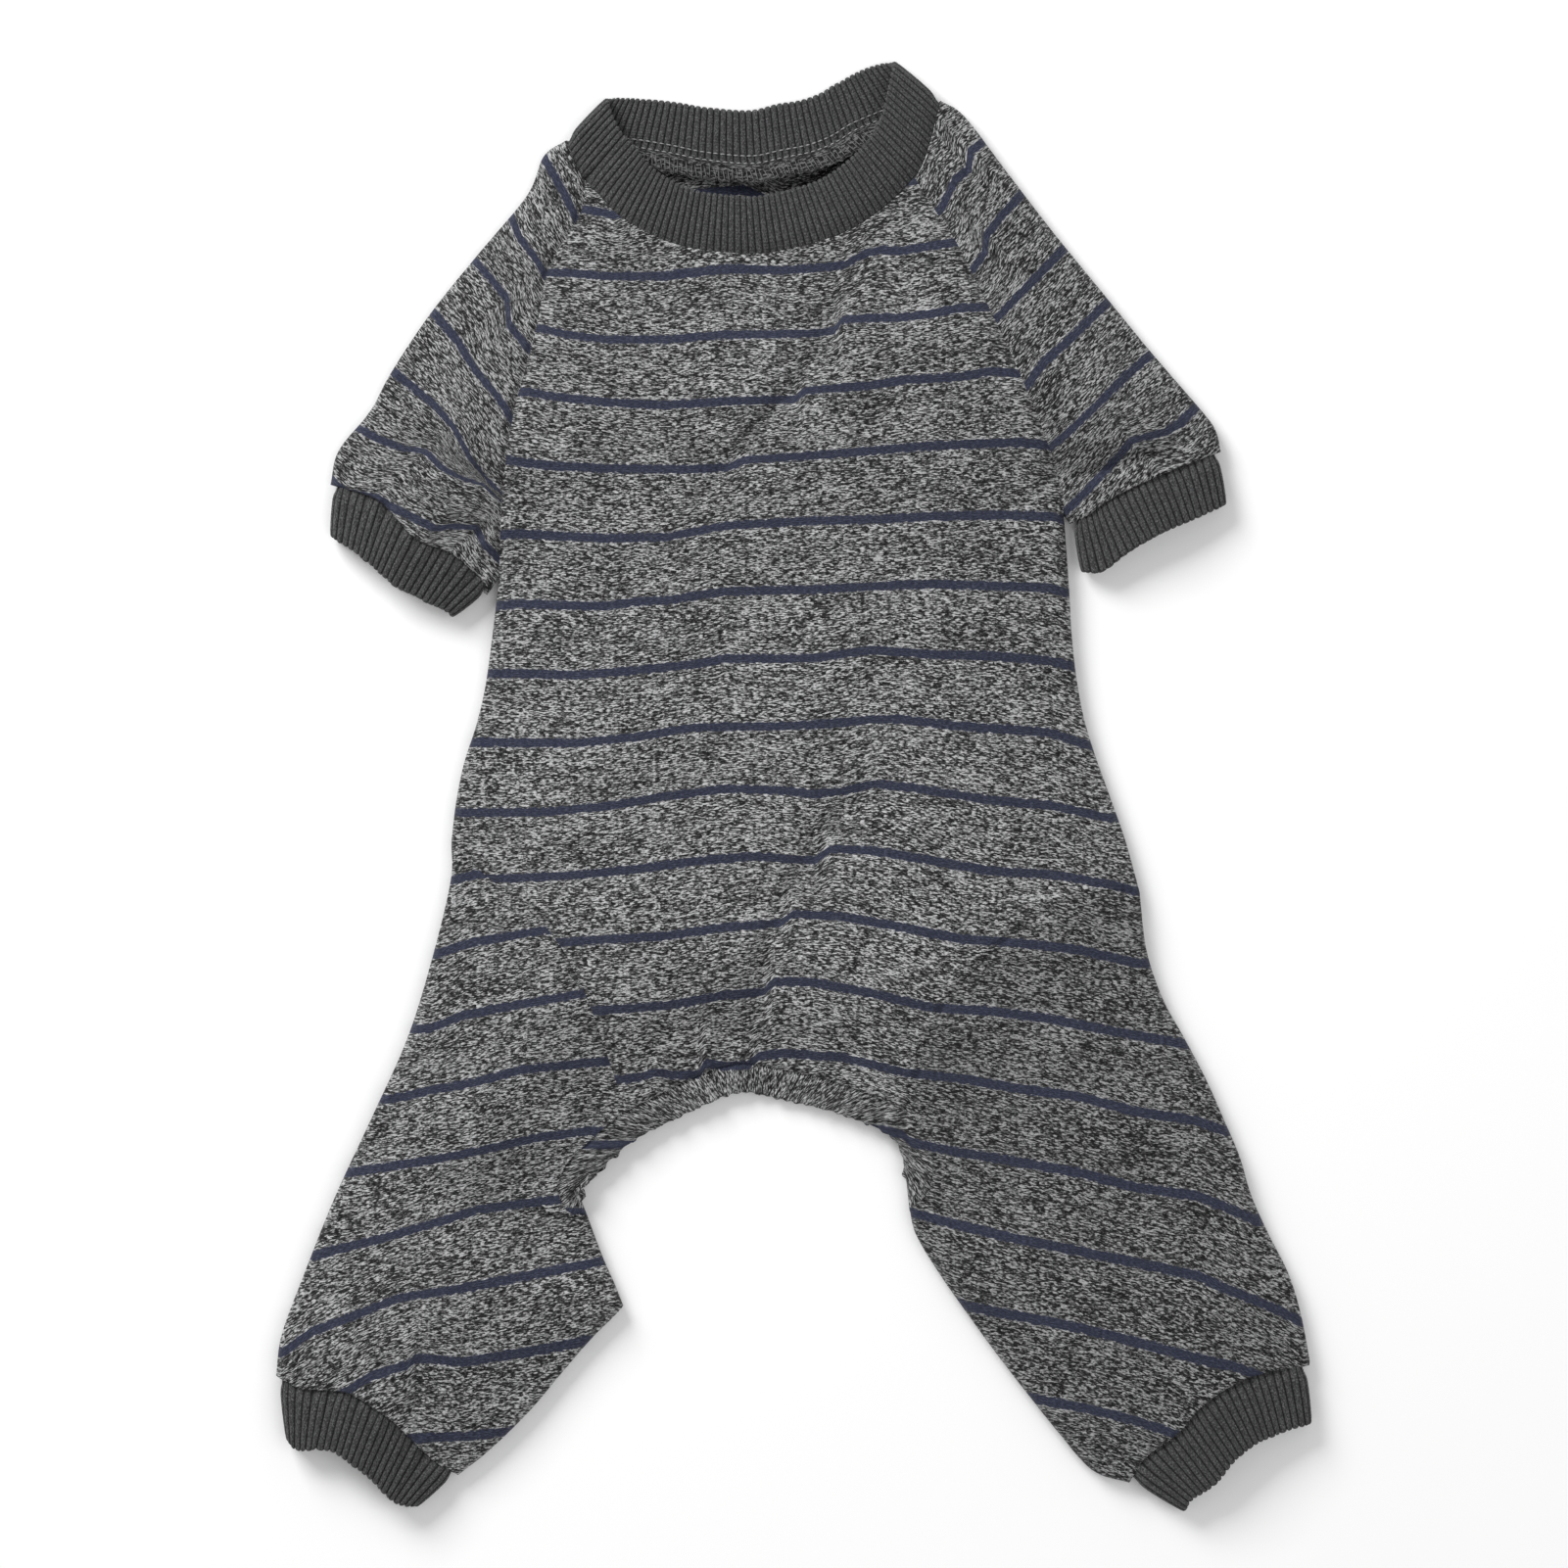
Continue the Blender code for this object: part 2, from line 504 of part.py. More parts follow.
def cloth_piece(name, outer, inner, closed_from, colour):
    """A wall between two grids. From the row closed_from on, the first and last columns are one."""
    rows, columns = outer.shape[:2]
    number = np.arange(rows * columns).reshape(rows, columns)
    if closed_from is not None:
        number[closed_from:, -1] = number[closed_from:, 0]
    used = sorted(set(number.ravel()))
    place = {old: new for new, old in enumerate(used)}
    count = len(used)
    index = np.vectorize(place.get)(number)
    vertices = np.vstack([outer.reshape(-1, 3)[used], inner.reshape(-1, 3)[used]])
    faces = []
    for r in range(rows - 1):
        for c in range(columns - 1):
            loop = [index[r, c], index[r + 1, c], index[r + 1, c + 1], index[r, c + 1]]
            faces.append([int(v) for v in loop])
            faces.append([int(v) + count for v in reversed(loop)])
    open_rows = rows - 1 if closed_from is None else closed_from
    rim = [(index[0, c], index[0, c + 1]) for c in range(columns - 1)]
    rim += [(index[-1, c + 1], index[-1, c]) for c in range(columns - 1)]
    rim += [(index[r + 1, 0], index[r, 0]) for r in range(open_rows)]
    rim += [(index[r, -1], index[r + 1, -1]) for r in range(open_rows)]
    for a, b in rim:
        a, b = int(a), int(b)
        if vertices[a][1] > vertices[b][1]:
            faces += [[a, b, b + count], [a, b + count, a + count]]
        else:
            faces += [[a, b, a + count], [b, b + count, a + count]]
    return make_object(name, vertices, faces, colour, JERSEY_ROUGHNESS)


SEWN = {}                  # the boundary points of each finished panel, where bands are sewn on


def torso_panel(name, top, raglan, seam, bottom, layer, columns, colour):
    """The back or belly panel between its raglan seams, side folds and leg seams."""
    left, right = [np.vstack([joined([line[raglan], line["side"]], (SHOULDER_ROWS, SIDE_ROWS)),
                              pick(line[seam], SEAT_STOPS)]) for line in LINES.values()]
    shares = column_shares(left, right, columns, (True, True))
    plan = coons(top, bottom, left, right, shares)
    SEWN[name] = {"start": plan[0].copy(), "end": plan[-1].copy()}
    side = slice(SHOULDER_ROWS, SHOULDER_ROWS + SIDE_ROWS + 1)
    shift = np.zeros_like(plan)
    trim(plan, shift, (0, slice(None)), (1, slice(None)))
    trim(plan, shift, (-1, slice(None)), (-2, slice(None)))
    trim(plan, shift, (slice(None), 0), (slice(None), 1), side)
    trim(plan, shift, (slice(None), -1), (slice(None), -2), side)
    outer, inner = cloth_points(plan, shift, np.full(plan.shape[1], layer))
    for column in (0, -1):
        outer[side, column, 2] += layer * SEAM_GAP / 2
        inner[side, column, 2] += layer * SEAM_GAP / 2
    return cloth_piece(name, outer, inner, None, colour)


def wrapped_piece(name, upper, lower, fold, end, closed, rows, columns, colour, pointed=False):
    """A sleeve or leg: an upper and a lower layer joined by one fold, and a tube towards its end.

    upper and lower run from the neck or hip to the end along the open seams and then the inner fold.
    A pointed piece has its first row on the seam itself.
    """
    count_open, count_closed = rows
    fold_points = np.vstack([cut(fold, 0, closed, count_open + 1),
                             cut(fold, closed, 1, count_closed + 1)[1:]])
    layers = []
    for start, edge in (upper, lower):
        shares = column_shares(edge, fold_points, columns, (True, True))
        layers.append(coons(start, end, edge, fold_points, shares))
    plan = np.concatenate([layers[0], layers[1][:, ::-1][:, 1:]], axis=1)
    SEWN[name] = {"start": layers[0][0], "start_below": layers[1][0], "end": layers[0][-1],
                  "edge": upper[1], "edge_below": lower[1]}
    side = layers[0].shape[1] - 1
    layer = np.array([1] * side + [0] + [-1] * side)
    kept = [0] * pointed + list(range(count_open + 1, len(plan)))
    shift = np.zeros_like(plan)
    trim(plan, shift, (0, slice(None)), (count_open if pointed else 1, slice(None)))
    trim(plan, shift, (-1, slice(None)), (-2, slice(None)))
    trim(plan, shift, (slice(None), 0), (slice(None), 1), kept)
    trim(plan, shift, (slice(None), -1), (slice(None), -2), kept)
    towards = upper[1][count_open + 1] - upper[1][count_open]
    shift[count_open, [0, -1]] = towards / np.hypot(*towards) * SEAM_GAP / 2
    outer, inner = cloth_points(plan, shift, layer)
    for column in (0, -1):
        outer[count_open:, column, 2] = FOLD_ROLL
    inner[count_open:, -1] = inner[count_open:, 0]
    if pointed:
        for wall in (outer, inner):
            for first, last in ((0, side), (side, 2 * side)):
                share = np.linspace(0, 1, side + 1)[:, None]
                wall[0, first:last + 1] = (1 - share) * wall[0, first] + share * wall[0, last]
    return cloth_piece(name, outer, inner, count_open, colour)


def sewn_to(curve, *edges):
    """The curve moved onto the straight runs between the panels' own edge points."""
    return curve - nearest(curve, np.vstack(edges))


def paired_section(near, far, roll, rise, reach):
    """Seam and free edge of a band as two closed loops: an upper run that rises, and a lower run.

    near and far hold the seam's and the free edge's plan points side by side.
    """
    angle = np.linspace(0, pi / 2, ROLL_STEPS)[:-1]
    loops = []
    for pairs, upper in ((near, True), (far, False)):
        length = run((pairs[:, :2] + pairs[:, 2:]) / 2)
        edge = roll * (1 - np.cos(angle))
        at = np.concatenate([edge, np.linspace(roll, length[-1] - roll, BAND_STEPS),
                             (length[-1] - edge)[::-1][:-1]])
        distance = np.minimum(at, length[-1] - at)
        turn = 1 - np.clip(distance / roll, 0, 1)
        lift = roll * np.sqrt(1 - turn ** 2)
        if upper:
            height = roll + lift + (rise - 2 * roll) * swell(np.maximum(distance - roll, 0), reach)
        else:
            height = roll - lift
        plan = np.column_stack([np.interp(at, length, pairs[:, axis]) for axis in range(4)])
        loops.append(np.column_stack([plan[:, :2], height, plan[:, 2:], height]))
    loop = np.vstack(loops)
    return loop[:, :3], loop[:, 3:]


def ribbed_band(name, seam, free, wall, pitch, depth, colour):
    """A closed band between its seam and its free edge, with ribs or gathers across it."""
    pairs = np.column_stack([seam, free])
    pairs = np.vstack([pairs, pairs[:1]])
    length = run((pairs[:, :3] + pairs[:, 3:]) / 2)
    count = 2 * int(round(length[-1] / pitch))
    at = np.arange(count) / count * length[-1]
    pairs = np.column_stack([np.interp(at, length, pairs[:, axis]) for axis in range(6)])
    seam, free = pairs[:, :3], pairs[:, 3:]
    middle = 0.5 * (seam + free)
    tangent = np.roll(middle, -1, axis=0) - np.roll(middle, 1, axis=0)
    normal = np.cross(tangent, free - seam)
    normal /= np.linalg.norm(normal, axis=1)[:, None]
    upper = middle[:, 2] > np.median(middle[:, 2])
    if normal[upper, 2].mean() < 0:
        normal = -normal
    wave = np.where(np.arange(count) % 2 == 0, 0.5, -0.5)[:, None] * depth * normal
    across = free - seam
    across /= np.linalg.norm(across, axis=1)[:, None]
    along = np.roll(seam, -1, axis=0) - np.roll(seam, 1, axis=0)
    along /= np.linalg.norm(along, axis=1)[:, None]
    slant = np.linalg.norm(np.cross(across, along), axis=1)[:, None]
    seam = seam + across * SEAM_GAP / np.maximum(slant, 0.5)
    rings = [seam + wave, free + wave, free + wave - wall * normal, seam + wave - wall * normal]
    vertices = np.vstack(rings)
    vertices[:, 2] += depth / 2
    faces = []
    for ring in range(4):
        for i in range(count):
            a, b = ring * count, (ring + 1) % 4 * count
            j = (i + 1) % count
            faces.append([a + i, a + j, b + j, b + i])
    return make_object(name, vertices, faces, colour, RIB_ROUGHNESS)


HEATHER = (0.17, 0.17, 0.18)
HEATHER_DARK = (0.12, 0.12, 0.13)
CHARCOAL = (0.045, 0.045, 0.048)
JERSEY_ROUGHNESS = 0.95
RIB_ROUGHNESS = 0.9

torso_panel("back_panel", cut(neck_near, RAGLAN_START["left"], RAGLAN_START["right"]), "raglan", "seam",
            cut(rump_seam, LEG_SEAM_END["left"], LEG_SEAM_END["right"]), 1, PANEL_COLUMNS, HEATHER)
torso_panel("belly_panel", cut(neck_far, BELLY_RAGLAN_START["left"], BELLY_RAGLAN_START["right"]),
            "raglan_below", "seam_below",
            cut(belly_seam, BELLY_SEAM_END["left"], BELLY_SEAM_END["right"]), -1, BELLY_COLUMNS, HEATHER)

SLEEVE_NECKS = {
    "left": (cut(neck_near, RAGLAN_START["left"], 0), cut(neck_far, BELLY_RAGLAN_START["left"], 1)),
    "right": (cut(neck_near, RAGLAN_START["right"], 1), cut(neck_far, BELLY_RAGLAN_START["right"], 0)),
}
for side, line in LINES.items():
    edges = [joined([line[seam], line["underarm"]], (SHOULDER_ROWS, 1)) for seam in ("raglan", "raglan_below")]
    starts = SLEEVE_NECKS[side]
    wrapped_piece(f"sleeve_{side}", (starts[0], edges[0]), (starts[1], edges[1]), line["shoulder"],
                  line["sleeve_end"][::-1], SLEEVE_FOLD, (SHOULDER_ROWS, 1), SLEEVE_COLUMNS, HEATHER)

THIGHS = {
    "left": (cut(rump_seam, LEG_SEAM_END["left"], 0), cut(belly_seam, BELLY_SEAM_END["left"], 1)),
    "right": (cut(rump_seam, LEG_SEAM_END["right"], 1), cut(belly_seam, BELLY_SEAM_END["right"], 0)),
}
for side, line in LINES.items():
    layers = []
    for seam, thigh in zip(("seam", "seam_below"), THIGHS[side]):
        edge = np.vstack([pick(line[seam], SEAT_STOPS), pick(thigh, THIGH_STOPS),
                          joined([line["inner"]], (SHIN_ROWS,))[1:]])
        start = np.array([edge[0], line["hip"]])
        layers.append((start, edge))
    wrapped_piece(f"leg_{side}", layers[0], layers[1], line["outer"], line["leg_end"][::-1],
                  THIGH_SHARE[side], (len(SEAT_STOPS) - 1 + len(THIGH_STOPS), SHIN_ROWS), LEG_COLUMNS,
                  HEATHER_DARK, pointed=True)

left, right = SEWN["sleeve_left"], SEWN["sleeve_right"]
near_seam = sewn_to(neck_near, left["start"][::-1], SEWN["back_panel"]["start"], right["start"])
far_seam = sewn_to(neck_far, right["start_below"][::-1], SEWN["belly_panel"]["start"][::-1],
                   left["start_below"])
ribbed_band("collar",
            *paired_section(np.column_stack([near_seam, collar_near]), np.column_stack([far_seam, collar_far]),
                            CUFF_ROLL, COLLAR_RISE, COLLAR_REACH),
            RIB_WALL, RIB_PITCH, RIB_DEPTH, CHARCOAL)


def cuff(name, end, rows, size):
    """A cuff whose seam lies just inside the end of its sleeve or leg."""
    whole = run(end)[-1]
    seam = cut(end, CUFF_STEP / whole, 1 - CUFF_STEP / whole, 120)
    pairs = np.column_stack([seam, lean(seam, rows, size)])
    ribbed_band(name, *paired_section(pairs, pairs[::-1], CUFF_ROLL, CUFF_HEIGHT, whole / 2),
                RIB_WALL, RIB_PITCH, RIB_DEPTH, CHARCOAL)


for side, line in LINES.items():
    cuff(f"front_cuff_{side}", SEWN[f"sleeve_{side}"]["end"][::-1], CUFF_LEAN[f"front_{side}"],
         FRONT_CUFF_LENGTH)
    cuff(f"hind_cuff_{side}", SEWN[f"leg_{side}"]["end"][::-1], CUFF_LEAN[f"hind_{side}"],
         HIND_CUFF_LENGTH)


def hem_height(points, above):
    """Where the hem lies: on the upper layer, or on the surface under the belly."""
    distance = fold_way(points)[1]
    lift = FOLD_ROLL * np.sqrt(1 - (1 - np.clip(distance / FOLD_ROLL, 0, 1)) ** 2)
    height = FOLD_ROLL + lift + loft(points) if above else FOLD_ROLL - lift
    return np.column_stack([points, height])


thigh = slice(len(SEAT_STOPS) - 1, len(SEAT_STOPS) + len(THIGH_STOPS))
left, right = SEWN["leg_left"], SEWN["leg_right"]
rump_line = sewn_to(rump_seam, left["edge"][thigh][::-1], SEWN["back_panel"]["end"], right["edge"][thigh])
belly_line = sewn_to(belly_seam, right["edge_below"][thigh][::-1], SEWN["belly_panel"]["end"][::-1],
                     left["edge_below"][thigh])
rump_free = cut(rump_edge, 0, 1, len(rump_line))
belly_free = cut(belly_edge, 0, 1, len(belly_line))
ribbed_band("rear_hem",
            np.vstack([hem_height(rump_line, True)[:-1], hem_height(belly_line, False)[:-1]]),
            np.vstack([hem_height(rump_free, True)[:-1], hem_height(belly_free, False)[:-1]]),
            HEM_WALL, GATHER_PITCH, GATHER_DEPTH, HEATHER)

# The origin is under the middle of the whole jumpsuit, on the surface it lies on
corners = np.vstack([[vertex.co[:] for vertex in item.data.vertices] for item in bpy.data.objects])
low, high = corners.min(axis=0), corners.max(axis=0)
for item in bpy.data.objects:
    for vertex in item.data.vertices:
        vertex.co.x -= (low[0] + high[0]) / 2
        vertex.co.y -= (low[1] + high[1]) / 2
        vertex.co.z -= low[2]
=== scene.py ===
"""The looks of a knitted dog jumpsuit laid flat, seen from above: +X right, +Y to the neck, +Z up.

Seams, folded edges and the hem are smooth curves in the plan, the same that the solids have. Each
piece of cloth is a fine grid between those curves, laid over one height rule. Its map "knit" runs
along the courses in metres and counts the stripes across them.
"""
from collections import namedtuple
from math import pi

import bmesh
import bpy
import numpy as np
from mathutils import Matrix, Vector


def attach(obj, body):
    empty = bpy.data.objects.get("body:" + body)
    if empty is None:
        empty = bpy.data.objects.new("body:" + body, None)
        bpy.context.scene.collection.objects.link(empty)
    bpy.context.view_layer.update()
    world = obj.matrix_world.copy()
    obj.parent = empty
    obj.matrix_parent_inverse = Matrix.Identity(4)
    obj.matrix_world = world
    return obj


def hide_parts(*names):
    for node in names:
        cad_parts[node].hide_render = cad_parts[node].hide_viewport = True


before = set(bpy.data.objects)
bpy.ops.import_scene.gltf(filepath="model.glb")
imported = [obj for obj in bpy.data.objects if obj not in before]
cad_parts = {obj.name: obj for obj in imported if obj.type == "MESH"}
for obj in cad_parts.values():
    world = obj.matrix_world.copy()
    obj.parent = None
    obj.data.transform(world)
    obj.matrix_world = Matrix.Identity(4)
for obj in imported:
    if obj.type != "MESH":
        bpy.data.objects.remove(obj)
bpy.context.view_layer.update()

# Sizes in metres
BACK_LENGTH = 0.2726       # neck seam to the edge over the rump
CHEST_WIDTH = 0.1856       # flat width under the sleeves
NECK_WIDTH = 0.1222        # flat width of the neck seam
NECK_DROP = 0.0442         # how far the upper neck seam scoops
COLLAR_HEIGHT = 0.0198
SLEEVE_LENGTH = 0.1363     # along the shoulder fold
LEG_LENGTH = 0.1757        # hip to cuff seam
LEG_WIDTH = 0.0992
FRONT_CUFF_LENGTH = 0.0176
HIND_CUFF_LENGTH = 0.0205
HEM_WIDTH = 0.0090
JERSEY_WALL = 0.0014
RIB_WALL = 0.0022          # rib knit is folded double
HEM_WALL = 0.0022
FOLD_ROLL = 0.0032         # radius where the jersey folds over
CUFF_ROLL = 0.0042         # radius where the rib knit folds over
LOFT = 0.0096              # how much the upper layer rises inside the folded edges
LOFT_REACH = 0.0700
CUFF_HEIGHT = 0.0118
COLLAR_RISE = 0.0109
COLLAR_REACH = 0.0400
RIB_PITCH = 0.0025
RIB_DEPTH = 0.0006
GATHER_PITCH = 0.0070
GATHER_DEPTH = 0.0010
WRINKLE_DEPTH = 0.0030
WRINKLE_SPREAD = 0.0070
SEAM_GAP = 0.0006
CUFF_STEP = 0.0014         # how far a sleeve or leg stands out past its cuff

HEM_STEPS = 400            # along each edge of the rear opening
STREAK_LENGTH = 0.00125    # the melange fibres along a course
COURSE = 0.00036
HEATHER_TONES = [(0.32, 0.004), (0.43, 0.022), (0.50, 0.085), (0.56, 0.25), (0.64, 0.68)]
CHARCOAL_TONES = [(0.30, 0.018), (0.47, 0.041), (0.56, 0.064), (0.70, 0.130)]


def table(columns, *rows):
    """Rows whose columns are read by name."""
    kind = namedtuple("Row", columns)
    return [kind(*row) for row in rows]


# Torso lines: across in shares of CHEST_WIDTH, down in shares of BACK_LENGTH, from the neck seam
RAGLAN_LEFT = table("across down",
                    (-0.357, -0.048), (-0.412, 0.018), (-0.434, 0.092), (-0.472, 0.189),
                    (-0.492, 0.280), (-0.500, 0.386))
RAGLAN_RIGHT = table("across down",
                     (0.276, -0.042), (0.303, -0.014), (0.362, 0.067), (0.414, 0.143),
                     (0.467, 0.232), (0.484, 0.273), (0.493, 0.312))
SIDE_LEFT = table("across down",
                  (-0.500, 0.386), (-0.510, 0.445), (-0.524, 0.515), (-0.540, 0.562),
                  (-0.562, 0.609), (-0.576, 0.656), (-0.584, 0.703))
SIDE_RIGHT = table("across down",
                   (0.493, 0.312), (0.502, 0.398), (0.507, 0.457), (0.517, 0.515), (0.531, 0.562),
                   (0.553, 0.609), (0.578, 0.656), (0.602, 0.703), (0.626, 0.762))
LEG_SEAM_LEFT = table("across down", (-0.584, 0.703), (-0.526, 0.741), (-0.414, 0.806), (-0.345, 0.888))
LEG_SEAM_RIGHT = table("across down",
                       (0.626, 0.762), (0.540, 0.769), (0.448, 0.790), (0.362, 0.836), (0.272, 0.909))
RUMP_EDGE = table("across down",
                  (-0.362, 1.120), (-0.317, 1.090), (-0.267, 1.060), (-0.214, 1.040), (-0.143, 1.016),
                  (-0.105, 1.005), (-0.067, 1.000), (-0.012, 1.007), (0.079, 1.022), (0.167, 1.045),
                  (0.202, 1.064), (0.214, 1.090), (0.216, 1.108))
BELLY_EDGE = table("across down",
                   (0.216, 1.108), (0.198, 1.008), (0.138, 0.891), (0.052, 0.820), (-0.069, 0.797),
                   (-0.190, 0.820), (-0.276, 0.903), (-0.336, 1.020), (-0.362, 1.120))

# Neck seams: across in shares of NECK_WIDTH, up in shares of NECK_DROP, from the neck seam's middle
NECK_SHIFT = -0.052        # neck middle, as a share of CHEST_WIDTH
NECK_NEAR = table("across up",
                  (-0.501, 0.848), (-0.467, 0.609), (-0.417, 0.449), (-0.360, 0.283), (-0.276, 0.145),
                  (-0.192, 0.058), (-0.115, 0.022), (-0.008, 0.000), (0.084, 0.029), (0.186, 0.101),
                  (0.268, 0.196), (0.352, 0.355), (0.428, 0.565), (0.462, 0.746), (0.499, 1.138))
NECK_FAR = table("across up",
                 (0.499, 1.138), (0.381, 1.036), (0.276, 0.920), (0.220, 0.826), (0.155, 0.754),
                 (0.076, 0.710), (-0.008, 0.667), (-0.134, 0.696), (-0.223, 0.746), (-0.320, 0.790),
                 (-0.420, 0.812), (-0.501, 0.848))

# How each band leans off its seam: along is the share of the seam, turn is in degrees from +X, and
# reach is a share of the band's length
COLLAR_NEAR_LEAN = table("along turn reach",
                         (0.00, 47, 0.97), (0.13, 50, 0.99), (0.30, 76, 0.95), (0.50, 97, 0.95),
                         (0.68, 117, 0.97), (0.85, 135, 1.00), (1.00, 139, 1.02))
COLLAR_FAR_LEAN = table("along turn reach",
                        (0.00, 139, 1.02), (0.22, 112, 0.86), (0.42, 98, 0.92), (0.62, 88, 0.90),
                        (0.84, 74, 0.84), (1.00, 47, 0.97))
CUFF_LEAN = {
    "front_left": table("along turn reach", (0.0, -95, 0.96), (0.25, -107, 1.12), (0.5, -117, 0.95),
                        (0.75, -122, 1.03), (1.0, -141, 0.82)),
    "front_right": table("along turn reach", (0.0, -79, 0.98), (0.25, -72, 1.00), (0.5, -66, 1.00),
                         (0.75, -64, 1.02), (0.92, -76, 1.08), (1.0, -82, 0.95)),
    "hind_left": table("along turn reach", (0.0, -84, 1.02), (0.25, -102, 0.97), (0.5, -111, 1.00),
                       (0.75, -117, 0.97), (1.0, -137, 0.82)),
    "hind_right": table("along turn reach", (0.0, -83, 0.93), (0.25, -72, 1.02), (0.5, -57, 1.03),
                        (0.75, -52, 1.02), (1.0, -32, 1.00)),
}
HEM_RUMP_LEAN = table("along turn reach",
                      (0.00, -69, 1.0), (0.015, -130, 1.0), (0.03, -180, 1.0), (0.05, -223, 1.0),
                      (0.17, -241, 1.0), (0.35, -246, 1.0), (0.50, -270, 1.0), (0.72, -290, 1.0),
                      (0.86, -297, 1.0), (0.92, -325, 1.0), (0.965, -360, 1.0), (0.985, -400, 1.0),
                      (1.00, -444, 1.0))
HEM_BELLY_LEAN = table("along turn reach",
                       (0.00, -84, 1.0), (0.02, -45, 1.0), (0.05, 0, 1.0), (0.15, 14, 1.0),
                       (0.30, 35, 1.0), (0.42, 65, 1.0), (0.53, 90, 1.0), (0.62, 113, 1.0),
                       (0.74, 148, 1.0), (0.87, 169, 1.0), (0.95, 180, 1.0), (0.98, 235, 1.0),
                       (1.00, 291, 1.0))

# Shoulder folds: along and out in shares of SLEEVE_LENGTH, off the straight line of the sleeve
SHOULDER_LEFT = table("along out",
                      (0.000, 0.000), (0.062, 0.023), (0.162, 0.003), (0.345, 0.020), (0.525, 0.034),
                      (0.694, 0.032), (0.801, 0.021), (0.921, 0.030), (1.000, 0.000))
SHOULDER_RIGHT = table("along out",
                       (0.000, 0.000), (0.065, 0.021), (0.242, 0.017), (0.420, 0.014), (0.601, 0.016),
                       (0.783, 0.018), (0.970, 0.025), (1.027, 0.022), (1.075, 0.000))
SLEEVE_TURN_LEFT = -124.4  # degrees from +X
SLEEVE_TURN_RIGHT = -51.4

# Sleeve ends: along and out in shares of the straight line across the sleeve's end
SLEEVE_END_LEFT = table("along out",
                        (0.214, -0.070), (0.324, -0.068), (0.457, -0.036), (0.554, -0.026),
                        (0.707, -0.066), (0.836, -0.063), (0.952, -0.039))
SLEEVE_END_RIGHT = table("along out", (0.25, -0.019), (0.546, -0.032), (0.770, -0.021), (0.862, 0.002))
UNDERARM_LEFT = namedtuple("Step", "across down")(-0.021, 0.021)   # armpit to cuff seam, in torso shares
UNDERARM_RIGHT = namedtuple("Step", "across down")(0.010, 0.010)

# Leg outlines: across in shares of LEG_WIDTH, down in shares of LEG_LENGTH, from the hip
LEG_OUTER_LEFT = table("across down",
                       (0.000, 0.000), (-0.003, 0.073), (-0.065, 0.219), (-0.145, 0.364),
                       (-0.261, 0.510), (-0.381, 0.656), (-0.484, 0.801), (-0.558, 0.914),
                       (-0.577, 0.990))
LEG_INNER_LEFT = table("across down",
                       (0.494, 0.765), (0.540, 0.824), (0.5585, 0.8515), (0.566, 0.8585), (0.5575, 0.867), (0.520, 0.889), (0.461, 0.922),
                       (0.361, 0.987), (0.258, 1.056), (0.126, 1.129), (0.023, 1.175))
LEG_END_LEFT = table("across down",
                     (-0.577, 0.990), (-0.500, 1.012), (-0.397, 1.016), (-0.329, 1.022),
                     (-0.248, 1.049), (-0.181, 1.077), (-0.068, 1.142), (0.023, 1.175))
LEG_OUTER_RIGHT = table("across down",
                        (0.000, 0.000), (0.023, 0.109), (0.077, 0.200), (0.148, 0.273),
                        (0.216, 0.346), (0.274, 0.419), (0.329, 0.492), (0.368, 0.565),
                        (0.426, 0.638), (0.490, 0.710), (0.530, 0.783), (0.558, 0.865), (0.558, 0.880))
LEG_INNER_RIGHT = table("across down",
                        (-0.735, 0.638), (-0.658, 0.710), (-0.568, 0.783), (-0.474, 0.856),
                        (-0.374, 0.929), (-0.271, 1.002), (-0.155, 1.075), (-0.035, 1.098))
LEG_END_RIGHT = table("across down",
                      (0.558, 0.880), (0.435, 0.889), (0.313, 0.911), (0.200, 0.953),
                      (0.126, 1.002), (0.016, 1.051), (-0.035, 1.098))

# Where the hidden seams start and end: shares of the curves that they meet
RAGLAN_START = {"left": 0.093, "right": 0.836}
BELLY_RAGLAN_START = {"left": 0.880, "right": 0.120}
SLEEVE_FOLD = 0.96         # share of the shoulder fold beside the raglan seam
LEG_SEAM_END = {"left": 0.270, "right": 0.800}
BELLY_SEAM_END = {"left": 0.640, "right": 0.375}
THIGH_SHARE = {"left": 0.66, "right": 0.60}

# Wrinkles: depth is a share of WRINKLE_DEPTH, spread of WRINKLE_SPREAD, a row for each wrinkle
WRINKLES = table(
    "depth spread route",
    (0.9, 0.8, table("across down", (-0.640, 0.222), (-0.579, 0.257), (-0.500, 0.291))),
    (1.0, 0.7, table("across down", (0.484, 0.261), (0.586, 0.243), (0.690, 0.232))),
    (0.5, 1.0, table("across down", (0.147, 0.006), (0.083, 0.087), (0.026, 0.169), (-0.078, 0.251),
                     (-0.155, 0.331))),
    (0.7, 1.3, table("across down", (0.172, 0.633), (0.074, 0.717), (0.009, 0.793), (-0.026, 0.876),
                     (-0.052, 0.964))),
    (0.7, 0.8, table("across down", (-0.190, 0.930), (-0.175, 1.010))),
    (0.6, 0.8, table("across down", (-0.110, 0.920), (-0.105, 0.985))),
    (0.6, 0.8, table("across down", (0.040, 0.930), (0.030, 1.000))),
    (0.5, 0.8, table("across down", (0.120, 0.950), (0.100, 1.015))),
    (0.6, 1.2, table("across down", (-0.700, 1.050), (-0.560, 1.130), (-0.430, 1.180))),
    (0.6, 1.2, table("across down", (0.330, 1.100), (0.450, 1.190), (0.600, 1.250))),
)

# How much of LOFT is left along the rump edge and the upper neck seam, and how far inside it returns
RUMP_LOFT = -0.22
RUMP_REACH = 0.050
NECK_LOFT = 0.45
NECK_REACH = 0.045


